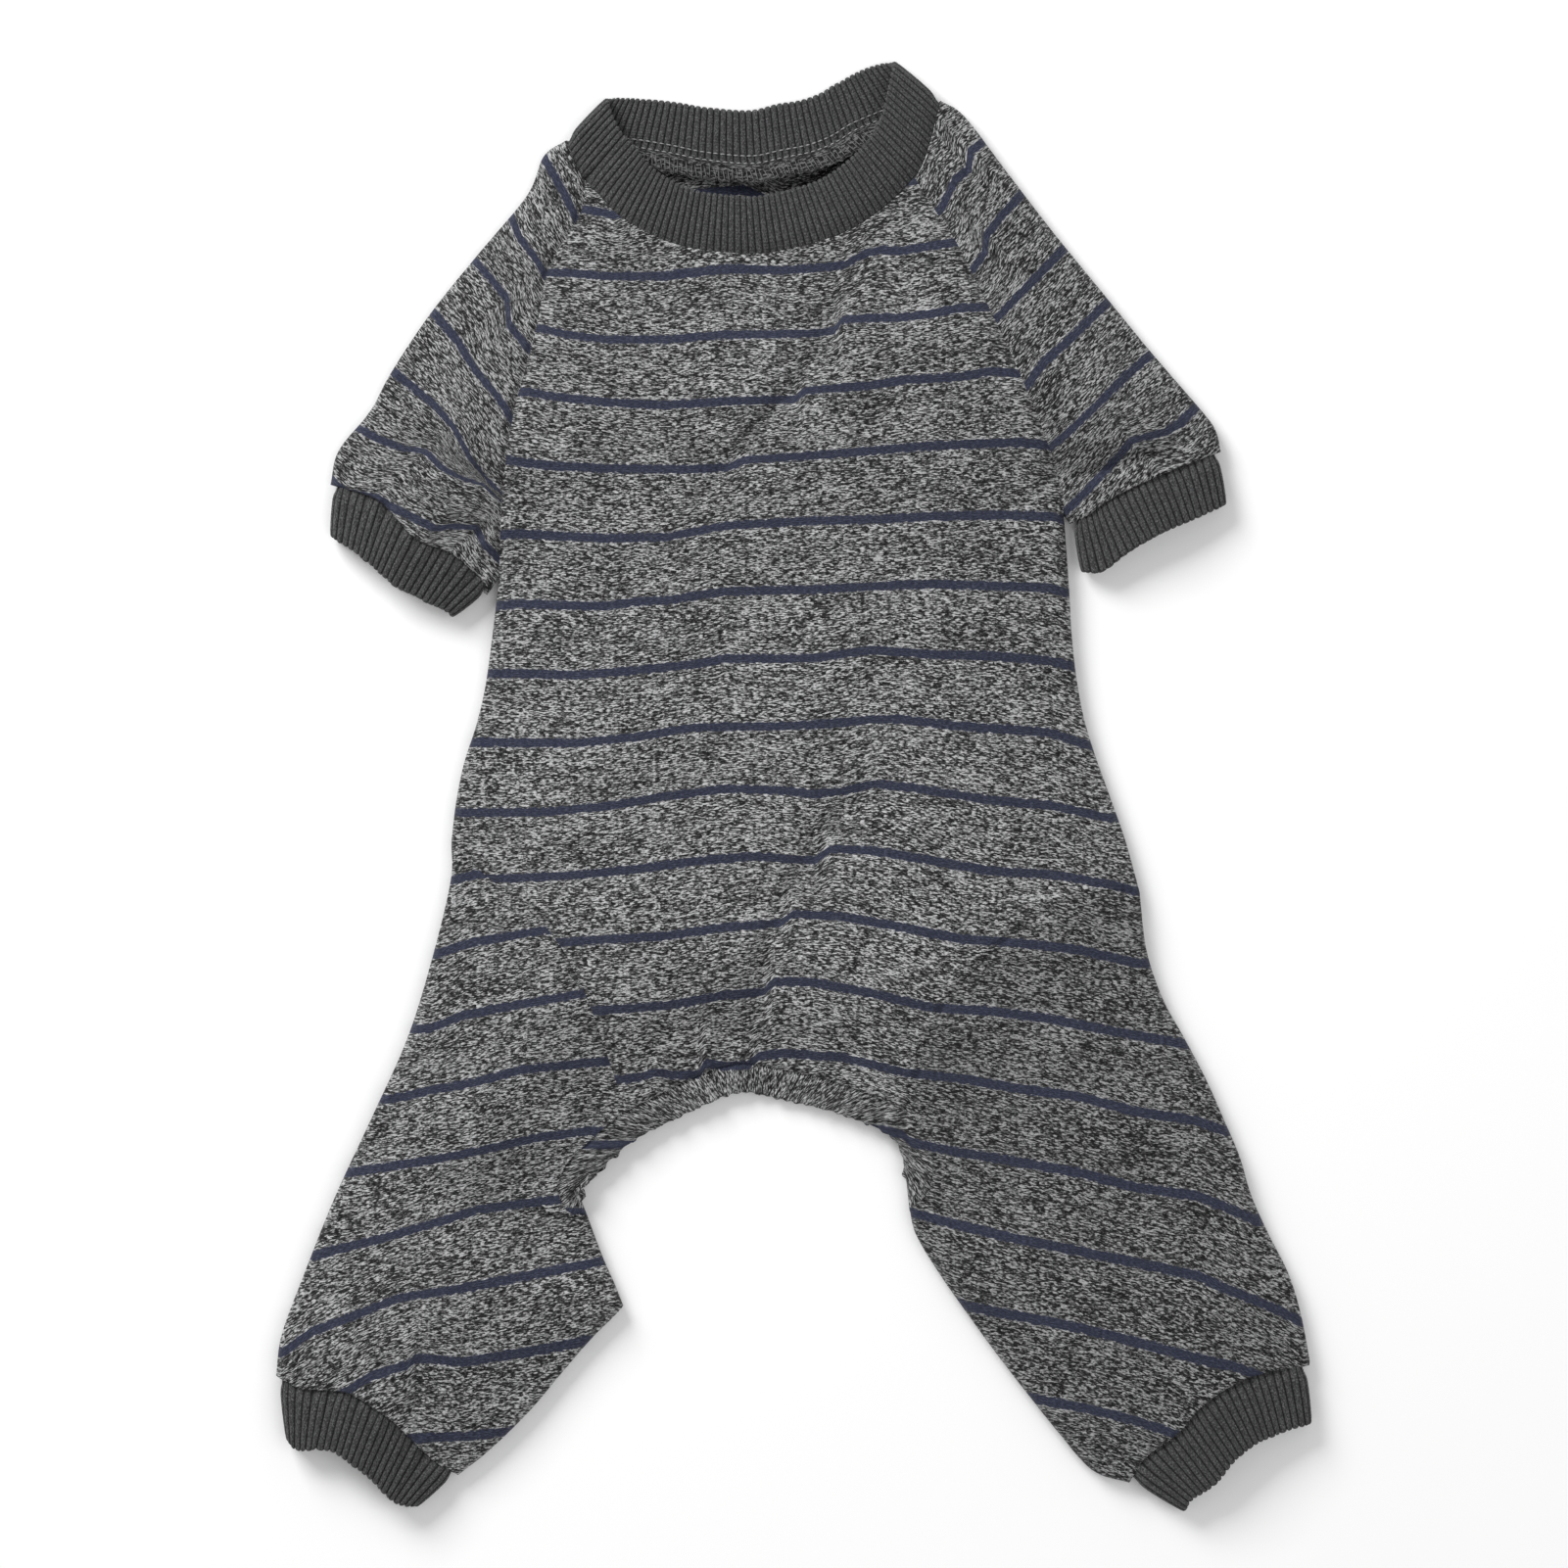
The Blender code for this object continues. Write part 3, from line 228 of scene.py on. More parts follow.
def smooth(points, steps=12):
    """A smooth curve through the points, as a dense polyline."""
    knots = np.asarray(points, dtype=float)
    ends = np.vstack([2 * knots[0] - knots[1], knots, 2 * knots[-1] - knots[-2]])
    share = np.linspace(0, 1, steps, endpoint=False)[:, None]
    curve = []
    for a, b, c, d in zip(ends, ends[1:], ends[2:], ends[3:]):
        curve.append(0.5 * (2 * b + (c - a) * share + (2 * a - 5 * b + 4 * c - d) * share ** 2
                            + (3 * b - a - 3 * c + d) * share ** 3))
    return np.vstack(curve + [knots[-1:]])


def run(curve):
    """The length from the curve's start to each of its points."""
    return np.concatenate([[0], np.cumsum(np.linalg.norm(np.diff(curve, axis=0), axis=1))])


def pick(curve, shares):
    """Points at the given shares of the curve's length."""
    length = run(curve)
    at = np.atleast_1d(shares) * length[-1]
    return np.column_stack([np.interp(at, length, curve[:, axis]) for axis in range(curve.shape[1])])


def cut(curve, start, end, steps=60):
    """The part of a curve between two shares of its length."""
    return pick(curve, np.linspace(start, end, steps))


def torso(row):
    return (row.across * CHEST_WIDTH, -row.down * BACK_LENGTH)


def neck(row):
    return (NECK_SHIFT * CHEST_WIDTH + row.across * NECK_WIDTH, row.up * NECK_DROP)


def leg(hip, row):
    return (hip[0] + row.across * LEG_WIDTH, hip[1] - row.down * LEG_LENGTH)


def offset_line(start, turn, size, rows):
    """Points placed along and off a straight line that starts at a point and turns by an angle."""
    along = np.array([np.cos(np.radians(turn)), np.sin(np.radians(turn))])
    off = np.array([along[1], -along[0]])
    return [start + size * (row.along * along + row.out * off) for row in rows]


def lean(seam, rows, size):
    """The free edge of a band that leans off its seam."""
    share = run(seam) / run(seam)[-1]
    turn = np.radians(np.interp(share, [row.along for row in rows], [row.turn for row in rows]))
    reach = size * np.interp(share, [row.along for row in rows], [row.reach for row in rows])
    return seam + np.column_stack([np.cos(turn), np.sin(turn)]) * reach[:, None]


# Plan curves
neck_near = smooth([neck(row) for row in NECK_NEAR])
neck_far = smooth([neck(row) for row in NECK_FAR])
collar_near = lean(neck_near, COLLAR_NEAR_LEAN, COLLAR_HEIGHT)
collar_far = lean(neck_far, COLLAR_FAR_LEAN, COLLAR_HEIGHT)
rump_edge = smooth([torso(row) for row in RUMP_EDGE])
belly_edge = smooth([torso(row) for row in BELLY_EDGE])
rump_seam = lean(cut(rump_edge, 0, 1, HEM_STEPS), HEM_RUMP_LEAN, HEM_WIDTH)
belly_seam = lean(cut(belly_edge, 0, 1, HEM_STEPS), HEM_BELLY_LEAN, HEM_WIDTH)


def side_curves(side, raglan_rows, side_rows, seam_rows):
    """Raglan seams, side fold and leg seams of one side, above and below."""
    armpit = torso(raglan_rows[-1])
    hip = torso(side_rows[-1])
    start = pick(neck_near, RAGLAN_START[side])[0]
    start_below = pick(neck_far, BELLY_RAGLAN_START[side])[0]
    end = pick(rump_seam, LEG_SEAM_END[side])[0]
    end_below = pick(belly_seam, BELLY_SEAM_END[side])[0]
    return {
        "armpit": np.array(armpit),
        "hip": np.array(hip),
        "raglan": smooth([start] + [torso(row) for row in raglan_rows]),
        "raglan_below": smooth([start_below, (0.4 * start_below[0] + 0.6 * armpit[0],
                                              0.5 * (start_below[1] + armpit[1])), armpit]),
        "side": smooth([torso(row) for row in side_rows]),
        "seam": smooth([torso(row) for row in seam_rows] + [end]),
        "seam_below": smooth([hip, (0.5 * (hip[0] + end_below[0]), 0.6 * hip[1] + 0.4 * end_below[1]),
                              end_below]),
    }


LINES = {
    "left": side_curves("left", RAGLAN_LEFT, SIDE_LEFT, LEG_SEAM_LEFT),
    "right": side_curves("right", RAGLAN_RIGHT, SIDE_RIGHT, LEG_SEAM_RIGHT),
}


def sleeve_curves(side, neck_end, turn, rows, end_rows, underarm):
    """Shoulder fold, sleeve end and the short fold under the arm."""
    mirror = 1 if side == "left" else -1
    line = LINES[side]
    shoulder = smooth(offset_line(neck_end, turn, SLEEVE_LENGTH,
                                  [row._replace(out=row.out * mirror) for row in rows]))
    corner = shoulder[-1]
    inner = line["armpit"] + np.array([underarm.across * CHEST_WIDTH, -underarm.down * BACK_LENGTH])
    chord = inner - corner
    angle = np.degrees(np.arctan2(chord[1], chord[0]))
    size = np.hypot(*chord)
    bulge = offset_line(corner, angle, size, [row._replace(out=row.out * mirror) for row in end_rows])
    line["shoulder"] = shoulder
    line["sleeve_end"] = smooth([corner] + bulge + [inner])
    line["underarm"] = np.array([line["armpit"], inner])


sleeve_curves("left", neck_near[0], SLEEVE_TURN_LEFT, SHOULDER_LEFT, SLEEVE_END_LEFT, UNDERARM_LEFT)
sleeve_curves("right", neck_near[-1], SLEEVE_TURN_RIGHT, SHOULDER_RIGHT, SLEEVE_END_RIGHT, UNDERARM_RIGHT)


def leg_curves(side, notch, outer_rows, inner_rows, end_rows):
    """Outer fold, inner fold and end of a hind leg. The notch is where the rear hem crosses the fold."""
    line = LINES[side]
    hip = line["hip"]
    line["outer"] = smooth([leg(hip, row) for row in outer_rows])
    line["inner"] = smooth([notch] + [leg(hip, row) for row in inner_rows])
    line["leg_end"] = smooth([leg(hip, row) for row in end_rows])
    line["notch"] = np.array(notch)


leg_curves("left", rump_seam[0], LEG_OUTER_LEFT, LEG_INNER_LEFT, LEG_END_LEFT)
leg_curves("right", rump_seam[-1], LEG_OUTER_RIGHT, LEG_INNER_RIGHT, LEG_END_RIGHT)

FOLDED_EDGES = []
for line in LINES.values():
    for name in ("shoulder", "side", "underarm", "outer", "inner"):
        FOLDED_EDGES.append(line[name])
FOLDED_EDGES.append(np.array([rump_edge[0], rump_seam[0]]))
FOLDED_EDGES.append(np.array([rump_edge[-1], rump_seam[-1]]))


def ease(share):
    share = np.clip(share, 0, 1)
    return share * share * (3 - 2 * share)


def swell(distance, reach):
    """A rise from a fold that slackens towards its reach."""
    return 1 - (1 - np.clip(distance / reach, 0, 1)) ** 2


def beside(points, line):
    """Distance from a line, how far along it, and on which side (positive to its left)."""
    start = line[:-1]
    step = line[1:] - line[:-1]
    size = np.maximum((step ** 2).sum(1), 1e-18)
    along = run(line)[:-1]
    length = np.sqrt(size)
    result = np.empty((len(points), 3))
    for first in range(0, len(points), 4000):
        part = points[first:first + 4000, None] - start[None]
        share = np.clip((part * step).sum(2) / size, 0, 1)
        way = part - share[..., None] * step
        best = np.argmin((way ** 2).sum(2), axis=1)
        index = np.arange(len(best))
        chosen = way[index, best]
        result[first:first + 4000, 0] = np.linalg.norm(chosen, axis=1)
        result[first:first + 4000, 1] = along[best] + share[index, best] * length[best]
        turn = step[best, 0] * chosen[:, 1] - step[best, 1] * chosen[:, 0]
        result[first:first + 4000, 2] = np.sign(turn)
    return result.T


def photo(*pixels):
    """Plan points from places in the photograph."""
    return np.array([((x - 800) * PIXEL, (261 - y) * PIXEL) for x, y in pixels])


PIXEL = 0.00032
CENTRE = np.array([0.0035876, -0.1733477])     # the laid garment's middle in the plan
STRIPE_PITCH = 0.0224
STRIPE_WIDTH = 0.0029

# The stripes of each part of the cloth, from the neck down, by their centre lines
BODY_STRIPES = [
    photo((595, 215), (629, 222), (690, 200), (760, 193), (800, 212), (880, 200), (920, 190), (938, 185)),
    photo((567, 280), (620, 284), (680, 284), (740, 277), (800, 278), (830, 276), (862, 273), (884, 260),
          (900, 257), (920, 258), (950, 253), (975, 249)),
    photo((552, 337), (585, 345), (620, 349), (680, 349), (740, 344), (830, 343), (852, 340), (859, 328),
          (920, 327), (950, 323), (980, 317), (1011, 316)),
    photo((543, 402), (560, 406), (620, 413), (680, 416), (740, 412), (812, 410), (822, 401), (890, 396),
          (920, 390), (980, 387), (1010, 381), (1040, 383)),
    photo((521, 471), (530, 473), (560, 477), (620, 480), (710, 481), (745, 479), (762, 471), (830, 467),
          (950, 457), (1010, 454), (1040, 453), (1070, 456)),
    photo((516, 547), (530, 546), (620, 551), (680, 550), (740, 538), (830, 533), (890, 532), (950, 529),
          (1010, 527), (1070, 528), (1086, 531)),
    photo((509, 619), (530, 617), (620, 620), (650, 615), (680, 614), (740, 605), (830, 603), (890, 600),
          (950, 597), (1010, 599), (1070, 601), (1090, 606)),
    photo((530, 688), (590, 690), (650, 685), (710, 679), (740, 673), (830, 673), (890, 664), (950, 669),
          (1010, 670), (1070, 675), (1097, 681)),
    photo((500, 758), (590, 759), (650, 753), (710, 743), (800, 742), (860, 738), (890, 735), (920, 735),
          (980, 742), (1070, 748), (1100, 758), (1113, 762)),
    photo((470, 830), (560, 829), (620, 823), (680, 813), (740, 805), (800, 807), (830, 811), (860, 808),
          (895, 800), (950, 807), (1010, 817), (1070, 822), (1130, 835)),
    photo((510, 897), (590, 893), (650, 887), (710, 879), (770, 874), (832, 879), (848, 866), (890, 868),
          (950, 878), (1010, 889), (1070, 892), (1130, 902), (1160, 910)),
    photo((567, 962), (590, 960), (680, 955), (740, 946), (797, 942), (810, 932), (860, 935), (920, 946),
          (980, 958), (1040, 962), (1100, 969), (1160, 983)),
    photo((605, 1031), (680, 1026), (740, 1015), (780, 1012), (790, 1001), (830, 1002), (890, 1013),
          (950, 1028), (1010, 1031), (1070, 1039), (1130, 1051), (1190, 1062), (1220, 1068)),
    photo((610, 1104), (650, 1100), (670, 1094), (690, 1098), (714, 1097), (720, 1085), (740, 1088), (765, 1087),
          (774, 1078), (800, 1075), (860, 1079), (920, 1094), (980, 1100), (1040, 1110), (1100, 1118),
          (1160, 1134), (1220, 1143), (1250, 1154)),
    photo((650, 1168), (800, 1150), (900, 1152), (921, 1157), (930, 1166), (980, 1176), (1040, 1185),
          (1100, 1195), (1160, 1211), (1220, 1219), (1250, 1231), (1280, 1245)),
    photo((930, 1237), (980, 1250), (1040, 1264), (1100, 1275), (1160, 1287), (1220, 1300), (1250, 1314),
          (1280, 1326), (1310, 1340), (1328, 1350)),
    photo((940, 1318), (985, 1332), (1040, 1342), (1100, 1353), (1160, 1368), (1220, 1384), (1257, 1392),
          (1330, 1420)),
    photo((1000, 1418), (1060, 1428), (1100, 1435), (1130, 1441), (1160, 1449), (1190, 1459), (1240, 1480)),
]
LEFT_LEG_STRIPES = [
    photo((440, 900), (465, 898), (486, 893), (501, 891)),
    photo((445, 974), (481, 962), (555, 949)),
    photo((440, 1050), (474, 1036), (520, 1027), (598, 1013)),
    photo((400, 1122), (440, 1112), (486, 1104), (532, 1091), (637, 1081)),
    photo((359, 1196), (437, 1184), (496, 1173), (549, 1161), (602, 1154), (655, 1156)),
    photo((322, 1281), (391, 1263), (444, 1247), (489, 1233), (584, 1222)),
    photo((289, 1381), (320, 1358), (356, 1344), (408, 1323), (479, 1312), (532, 1302), (616, 1286)),
    photo((300, 1445), (359, 1416), (380, 1402), (418, 1390), (426, 1383), (475, 1388), (549, 1377), (602, 1367)),
    photo((380, 1490), (419, 1467), (475, 1465), (525, 1460)),
]
LEFT_SLEEVE_STRIPES = [
    photo((556, 163), (576, 198), (589, 226)),
    photo((520, 218), (531, 245), (548, 267), (558, 284)),
    photo((484, 266), (502, 285), (519, 306), (521, 334), (541, 359)),
    photo((443, 320), (467, 348), (487, 380), (502, 398), (516, 416), (527, 436)),
    photo((402, 380), (423, 397), (446, 416), (466, 441), (479, 468), (496, 491), (511, 506)),
    photo((363, 436), (385, 448), (410, 458), (436, 461), (453, 478), (473, 488), (496, 494)),
    photo((352, 503), (385, 509), (406, 521), (423, 529), (446, 541), (463, 538), (488, 539), (496, 556)),
]
RIGHT_SLEEVE_STRIPES = [
    photo((1004, 146), (991, 156), (989, 174), (975, 186), (961, 214)),
    photo((1042, 200), (1026, 217), (1006, 242), (1005, 260), (994, 276)),
    photo((1087, 254), (1061, 281), (1040, 302), (1021, 322)),
    photo((1131, 309), (1100, 339), (1086, 353), (1065, 371), (1050, 393)),
    photo((1174, 363), (1148, 385), (1120, 415), (1090, 443), (1071, 459)),
    photo((1221, 416), (1204, 433), (1190, 442), (1153, 451), (1143, 464), (1110, 500)),
]
CHARTS = {"body": (BODY_STRIPES, 0.0), "left_leg": (LEFT_LEG_STRIPES, 0.0),
          "left_sleeve": (LEFT_SLEEVE_STRIPES, -0.25 * pi), "right_sleeve": (RIGHT_SLEEVE_STRIPES, 0.25 * pi)}


def knit_map(points, chart, first=0):
    """How far along the courses each point is, and how many stripes down."""
    stripes, turn = CHARTS[chart]
    axes = np.array([[np.cos(turn), np.sin(turn)], [-np.sin(turn), np.cos(turn)]])
    along, up = axes @ points.T
    levels = []
    for stripe in stripes:
        x, y = axes @ stripe.T
        order = np.argsort(x)
        levels.append(np.interp(along, x[order], y[order]))
    levels = np.array(levels)
    count = np.where(up > levels[0], (levels[0] - up) / STRIPE_PITCH,
                     len(levels) - 1 + (levels[-1] - up) / STRIPE_PITCH)
    for i, (high, low) in enumerate(zip(levels, levels[1:])):
        between = (up <= high) & (up > low)
        count = np.where(between, i + (high - up) / np.maximum(high - low, 1e-6), count)
    return np.column_stack([along, count + first])


# Seams between the pieces, where the cloth dips
SEAMS = []
for line in LINES.values():
    SEAMS += [line["raglan"], line["seam"]]
NECK_SEAM = neck_near
ENDS = [line["sleeve_end"] for line in LINES.values()] + [line["leg_end"] for line in LINES.values()]
SEAM_DIP = 0.0013
SEAM_SPREAD = 0.0014

waves = np.random.default_rng(7)
WAVES = [(waves.uniform(60, 330), waves.uniform(0, 2 * pi), waves.uniform(0, 2 * pi)) for _ in range(26)]
WAVE_HEIGHT = 0.00042


def ripple(points):
    """The small unevenness of laid cloth."""
    height = np.zeros(len(points))
    for pitch, way, phase in WAVES:
        along = points[:, 0] * np.cos(way) + points[:, 1] * np.sin(way)
        height += np.sin(along * pitch + phase) * (120 / (60 + pitch))
    return WAVE_HEIGHT * height / 2


def pucker(along, pitch):
    """Uneven gathers along a seam."""
    return (np.sin(along / pitch * 2 * pi) + 0.6 * np.sin(along / pitch * 3.7 + 1.3)
            + 0.5 * np.sin(along / pitch * 8.9 + 0.4)) / 2


Fold = namedtuple("Fold", "height spread side route")
FOLDS = [
    Fold(0.0022, 0.009, 1, smooth(photo((897, 252), (858, 332), (816, 405), (755, 475), (700, 545)))),
    Fold(0.0024, 0.009, 1, smooth(photo((900, 800), (840, 872), (803, 937), (785, 1007), (768, 1082)))),
    Fold(0.0022, 0.006, 1, smooth(photo((722, 1035), (717, 1075), (716, 1110)))),
    Fold(0.0016, 0.005, 1, smooth(photo((690, 1050), (668, 1085), (655, 1115)))),
    Fold(0.0022, 0.007, 1, smooth(photo((988, 150), (997, 200), (1005, 250), (1012, 275)))),
    Fold(0.0036, 0.008, -1, smooth(photo((420, 452), (440, 460), (466, 482), (491, 494), (514, 510)))),
    Fold(0.0034, 0.008, 1, smooth(photo((1076, 486), (1110, 476), (1143, 466), (1173, 456), (1196, 458)))),
    Fold(0.0022, 0.006, -1, smooth(photo((484, 560), (497, 548), (514, 536)))),
    Fold(0.0016, 0.006, 1, smooth(photo((519, 300), (520, 322), (523, 345)))),
    Fold(0.0016, 0.008, -1, smooth(photo((425, 1350), (424, 1385), (418, 1420), (412, 1450)))),
    Fold(0.0014, 0.009, 1, smooth(photo((1130, 1215), (1110, 1290), (1105, 1350)))),
]


def loft(points, distance):
    """How far the upper layer stands above the top of the folded edge."""
    rump = beside(points, rump_edge)
    neck_distance = beside(points, neck_near)[0]
    left = RUMP_LOFT + (1 - RUMP_LOFT) * ease(rump[0] / RUMP_REACH)
    left = left * (NECK_LOFT + (1 - NECK_LOFT) * ease(neck_distance / NECK_REACH))
    rise = LOFT * swell(distance, LOFT_REACH) * left
    inside = ease(distance / (2 * FOLD_ROLL))
    for wrinkle in WRINKLES:
        route = smooth([torso(row) for row in wrinkle.route])
        off = beside(points, route)[0] / (wrinkle.spread * WRINKLE_SPREAD)
        rise -= wrinkle.depth * WRINKLE_DEPTH * np.exp(-off ** 2) * inside * ease(rump[0] / (2 * HEM_WIDTH))
    for fold in FOLDS:
        gap, along, side = beside(points, fold.route)
        length = run(fold.route)[-1]
        ends = ease(np.minimum(along, length - along) / (0.25 * length))
        signed = gap * side * fold.side
        shape = np.where(signed > 0, np.exp(-signed / fold.spread), np.exp(signed / (0.18 * fold.spread)))
        dip = np.exp(-((signed + 0.25 * fold.spread) / (0.3 * fold.spread)) ** 2)
        rise += fold.height * (0.8 * shape - 0.7 * dip) * ends * inside
    rise += ripple(points) * inside
    for seam in SEAMS:
        rise -= SEAM_DIP * np.exp(-(beside(points, seam)[0] / SEAM_SPREAD) ** 2) * inside
    rise += 0.0009 * pucker(rump[1], 0.0075) * np.exp(-rump[0] / 0.011) * inside
    for end in ENDS:
        gap, along, side = beside(points, end)
        rise += (0.0009 * pucker(along, 0.0075) * np.exp(-gap / 0.009) - 0.0004 * np.exp(-gap / 0.0012)) * inside
    return rise


def fold_distance(points):
    """Distance to the nearest folded edge."""
    return np.min([beside(points, edge)[0] for edge in FOLDED_EDGES], axis=0)


def laid_height(points, above, distance=None):
    """Height of the cloth's outer face over plan points."""
    if distance is None:
        distance = fold_distance(points)
    lift = FOLD_ROLL * np.sqrt(1 - (1 - np.clip(distance / FOLD_ROLL, 0, 1)) ** 2)
    return FOLD_ROLL + (lift + loft(points, distance) if above else -lift)


def coons(top, bottom, left, right, columns):
    """A grid of plan points between four curves; each row has the given column shares."""
    rows = len(left)
    down = (run(left) / run(left)[-1] + run(right) / run(right)[-1])[:, None, None] / 2
    across = columns[:, :, None]
    grid_top = np.stack([pick(top, share) for share in columns])
    grid_bottom = np.stack([pick(bottom, share) for share in columns])
    ruled = (1 - across) * left[:, None] + across * right[:, None]
    top_chord = (1 - across) * top[0] + across * top[-1]
    bottom_chord = (1 - across) * bottom[0] + across * bottom[-1]
    grid = ruled + (1 - down) * (grid_top - top_chord) + down * (grid_bottom - bottom_chord)
    return grid.reshape(rows, -1, 2)


def column_shares(rows, count, near, far):
    """Columns that are closer together beside the folded edges."""
    share = np.linspace(0, 1, count + 1)
    if near and far:
        share = share - 0.8 * np.sin(2 * pi * share) / (2 * pi)
    elif far:
        share = share + 0.8 * (np.sin(pi * share) / pi)
    return np.repeat(share[None], rows, axis=0)


def joined(pieces, counts):
    """Points along a chain of curves, each with its own number of steps."""
    points = [pick(curve, np.linspace(0, 1, count + 1)) for curve, count in zip(pieces, counts)]
    return np.vstack([points[0]] + [part[1:] for part in points[1:]])


def flow(points):
    """Unit normals of a grid of points."""
    down = np.gradient(points, axis=0)
    across = np.gradient(points, axis=1)
    normal = np.cross(down, across)
    size = np.linalg.norm(normal, axis=2)
    bad = size < 1e-14
    normal /= np.maximum(size, 1e-14)[..., None]
    if bad.any():
        good = normal[~bad].mean(axis=0)
        normal[bad] = good / np.linalg.norm(good)
    return normal


def mesh_piece(name, points, faces, maps, material):
    """A closed mesh with its maps, by name, and its material, its faces outwards."""
    mesh = bpy.data.meshes.new(name)
    mesh.from_pydata(points.tolist(), [], [list(face) for face in faces])
    corners = np.empty(len(mesh.loops), dtype=np.int64)
    mesh.loops.foreach_get("vertex_index", corners)
    for title, places in maps.items():
        layer = mesh.uv_layers.new(name=title)
        layer.data.foreach_set("uv", places[corners].astype(np.float32).ravel())
    shape = bmesh.new()
    shape.from_mesh(mesh)
    if shape.calc_volume(signed=True) < 0:
        bmesh.ops.reverse_faces(shape, faces=shape.faces[:])
    shape.to_mesh(mesh)
    shape.free()
    mesh.shade_smooth()
    mesh.materials.append(material)
    piece = bpy.data.objects.new(name, mesh)
    bpy.context.scene.collection.objects.link(piece)
    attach(piece, "root")
    return piece


def cloth_wall(name, outer, maps, wall, tube_from, material):
    """A wall of jersey from the grid of its outer face. From tube_from on, it closes round into a tube."""
    rows, columns = outer.shape[:2]
    normal = flow(outer)
    if tube_from is not None:
        seam = normal[tube_from:, 0] + normal[tube_from:, -1]
        seam /= np.maximum(np.linalg.norm(seam, axis=1), 1e-9)[:, None]
        normal[tube_from:, 0] = seam
        normal[tube_from:, -1] = seam
    outward = normal[rows // 2, columns // 4, 2]
    if outer[rows // 2, columns // 4, 2] < FOLD_ROLL:
        outward = -outward
    inner = outer - wall * normal * (1 if outward > 0 else -1)
    number = np.arange(rows * columns).reshape(rows, columns)
    if tube_from is not None:
        number[tube_from:, -1] = number[tube_from:, 0]
    used, index = np.unique(number.ravel(), return_inverse=True)
    index = index.reshape(rows, columns)
    count = len(used)
    points = np.vstack([outer.reshape(-1, 3)[used], inner.reshape(-1, 3)[used]])
    quads = np.stack([index[:-1, :-1], index[1:, :-1], index[1:, 1:], index[:-1, 1:]], axis=2).reshape(-1, 4)
    open_rows = rows - 1 if tube_from is None else tube_from
    rim = [np.column_stack([index[0, :-1], index[0, 1:]]),
           np.column_stack([index[-1, 1:], index[-1, :-1]]),
           np.column_stack([index[1:open_rows + 1, 0], index[:open_rows, 0]]),
           np.column_stack([index[:open_rows, -1], index[1:open_rows + 1, -1]])]
    rim = np.vstack(rim)
    edge = np.column_stack([rim, rim[:, ::-1] + count])
    faces = np.vstack([quads, quads[:, ::-1] + count, edge])
    flat_maps = maps.reshape(-1, 2)[used]
    points[:, :2] -= CENTRE
    return mesh_piece(name, points, faces, {"knit": np.vstack([flat_maps, flat_maps])}, material)


JERSEY = 0.0012
SEAT = np.linspace(0, 1, 61)[1:] ** 1.4


def body_panel(name, top, raglan, seam, bottom, above, rows, columns, material):
    """The back or belly between its raglan seams, side folds and leg seams."""
    stops = SEAT[::2] if rows[0] < 50 else SEAT
    left, right = [np.vstack([joined([line[raglan], line["side"]], rows), pick(line[seam], stops)])
                   for line in LINES.values()]
    plan = coons(top, bottom, left, right, column_shares(len(left), columns, True, True))
    flat = plan.reshape(-1, 2)
    distance = fold_distance(flat).reshape(plan.shape[:2])
    distance[rows[0]:rows[0] + rows[1] + 1, [0, -1]] = 0
    height = laid_height(flat, above, distance.ravel())
    outer = np.column_stack([flat, height]).reshape(*plan.shape[:2], 3)
    maps = knit_map(flat, "body").reshape(*plan.shape[:2], 2)
    return cloth_wall(name, outer, maps, JERSEY, None, material)


def limb(name, upper, lower, fold, end, closed, open_rows, shin_rows, columns, chart, first, material):
    """A sleeve or leg: two layers joined by one fold, and a tube towards its end."""
    fold_points = np.vstack([cut(fold, 0, closed, open_rows + 1), cut(fold, closed, 1, shin_rows + 1)[1:]])
    layers = [coons(start, end, edge, fold_points, column_shares(len(edge), columns, True, True))
              for start, edge in (upper, lower)]
    plan = np.concatenate([layers[0], layers[1][:, ::-1][:, 1:]], axis=1)
    side = layers[0].shape[1] - 1
    rows = len(plan)
    flat = plan.reshape(-1, 2)
    distance = fold_distance(flat).reshape(rows, -1)
    distance[:, side] = 0
    distance[open_rows:, [0, -1]] = 0
    height = np.empty((rows, plan.shape[1]))
    height[:, :side + 1] = laid_height(plan[:, :side + 1].reshape(-1, 2), True,
                                       distance[:, :side + 1].ravel()).reshape(rows, -1)
    height[:, side:] = laid_height(plan[:, side:].reshape(-1, 2), False,
                                   distance[:, side:].ravel()).reshape(rows, -1)
    height[:, side] = FOLD_ROLL
    height[open_rows:, [0, -1]] = FOLD_ROLL
    outer = np.concatenate([plan, height[..., None]], axis=2)
    maps = knit_map(flat, chart, first).reshape(rows, -1, 2)
    return cloth_wall(name, outer, maps, JERSEY, open_rows, material)


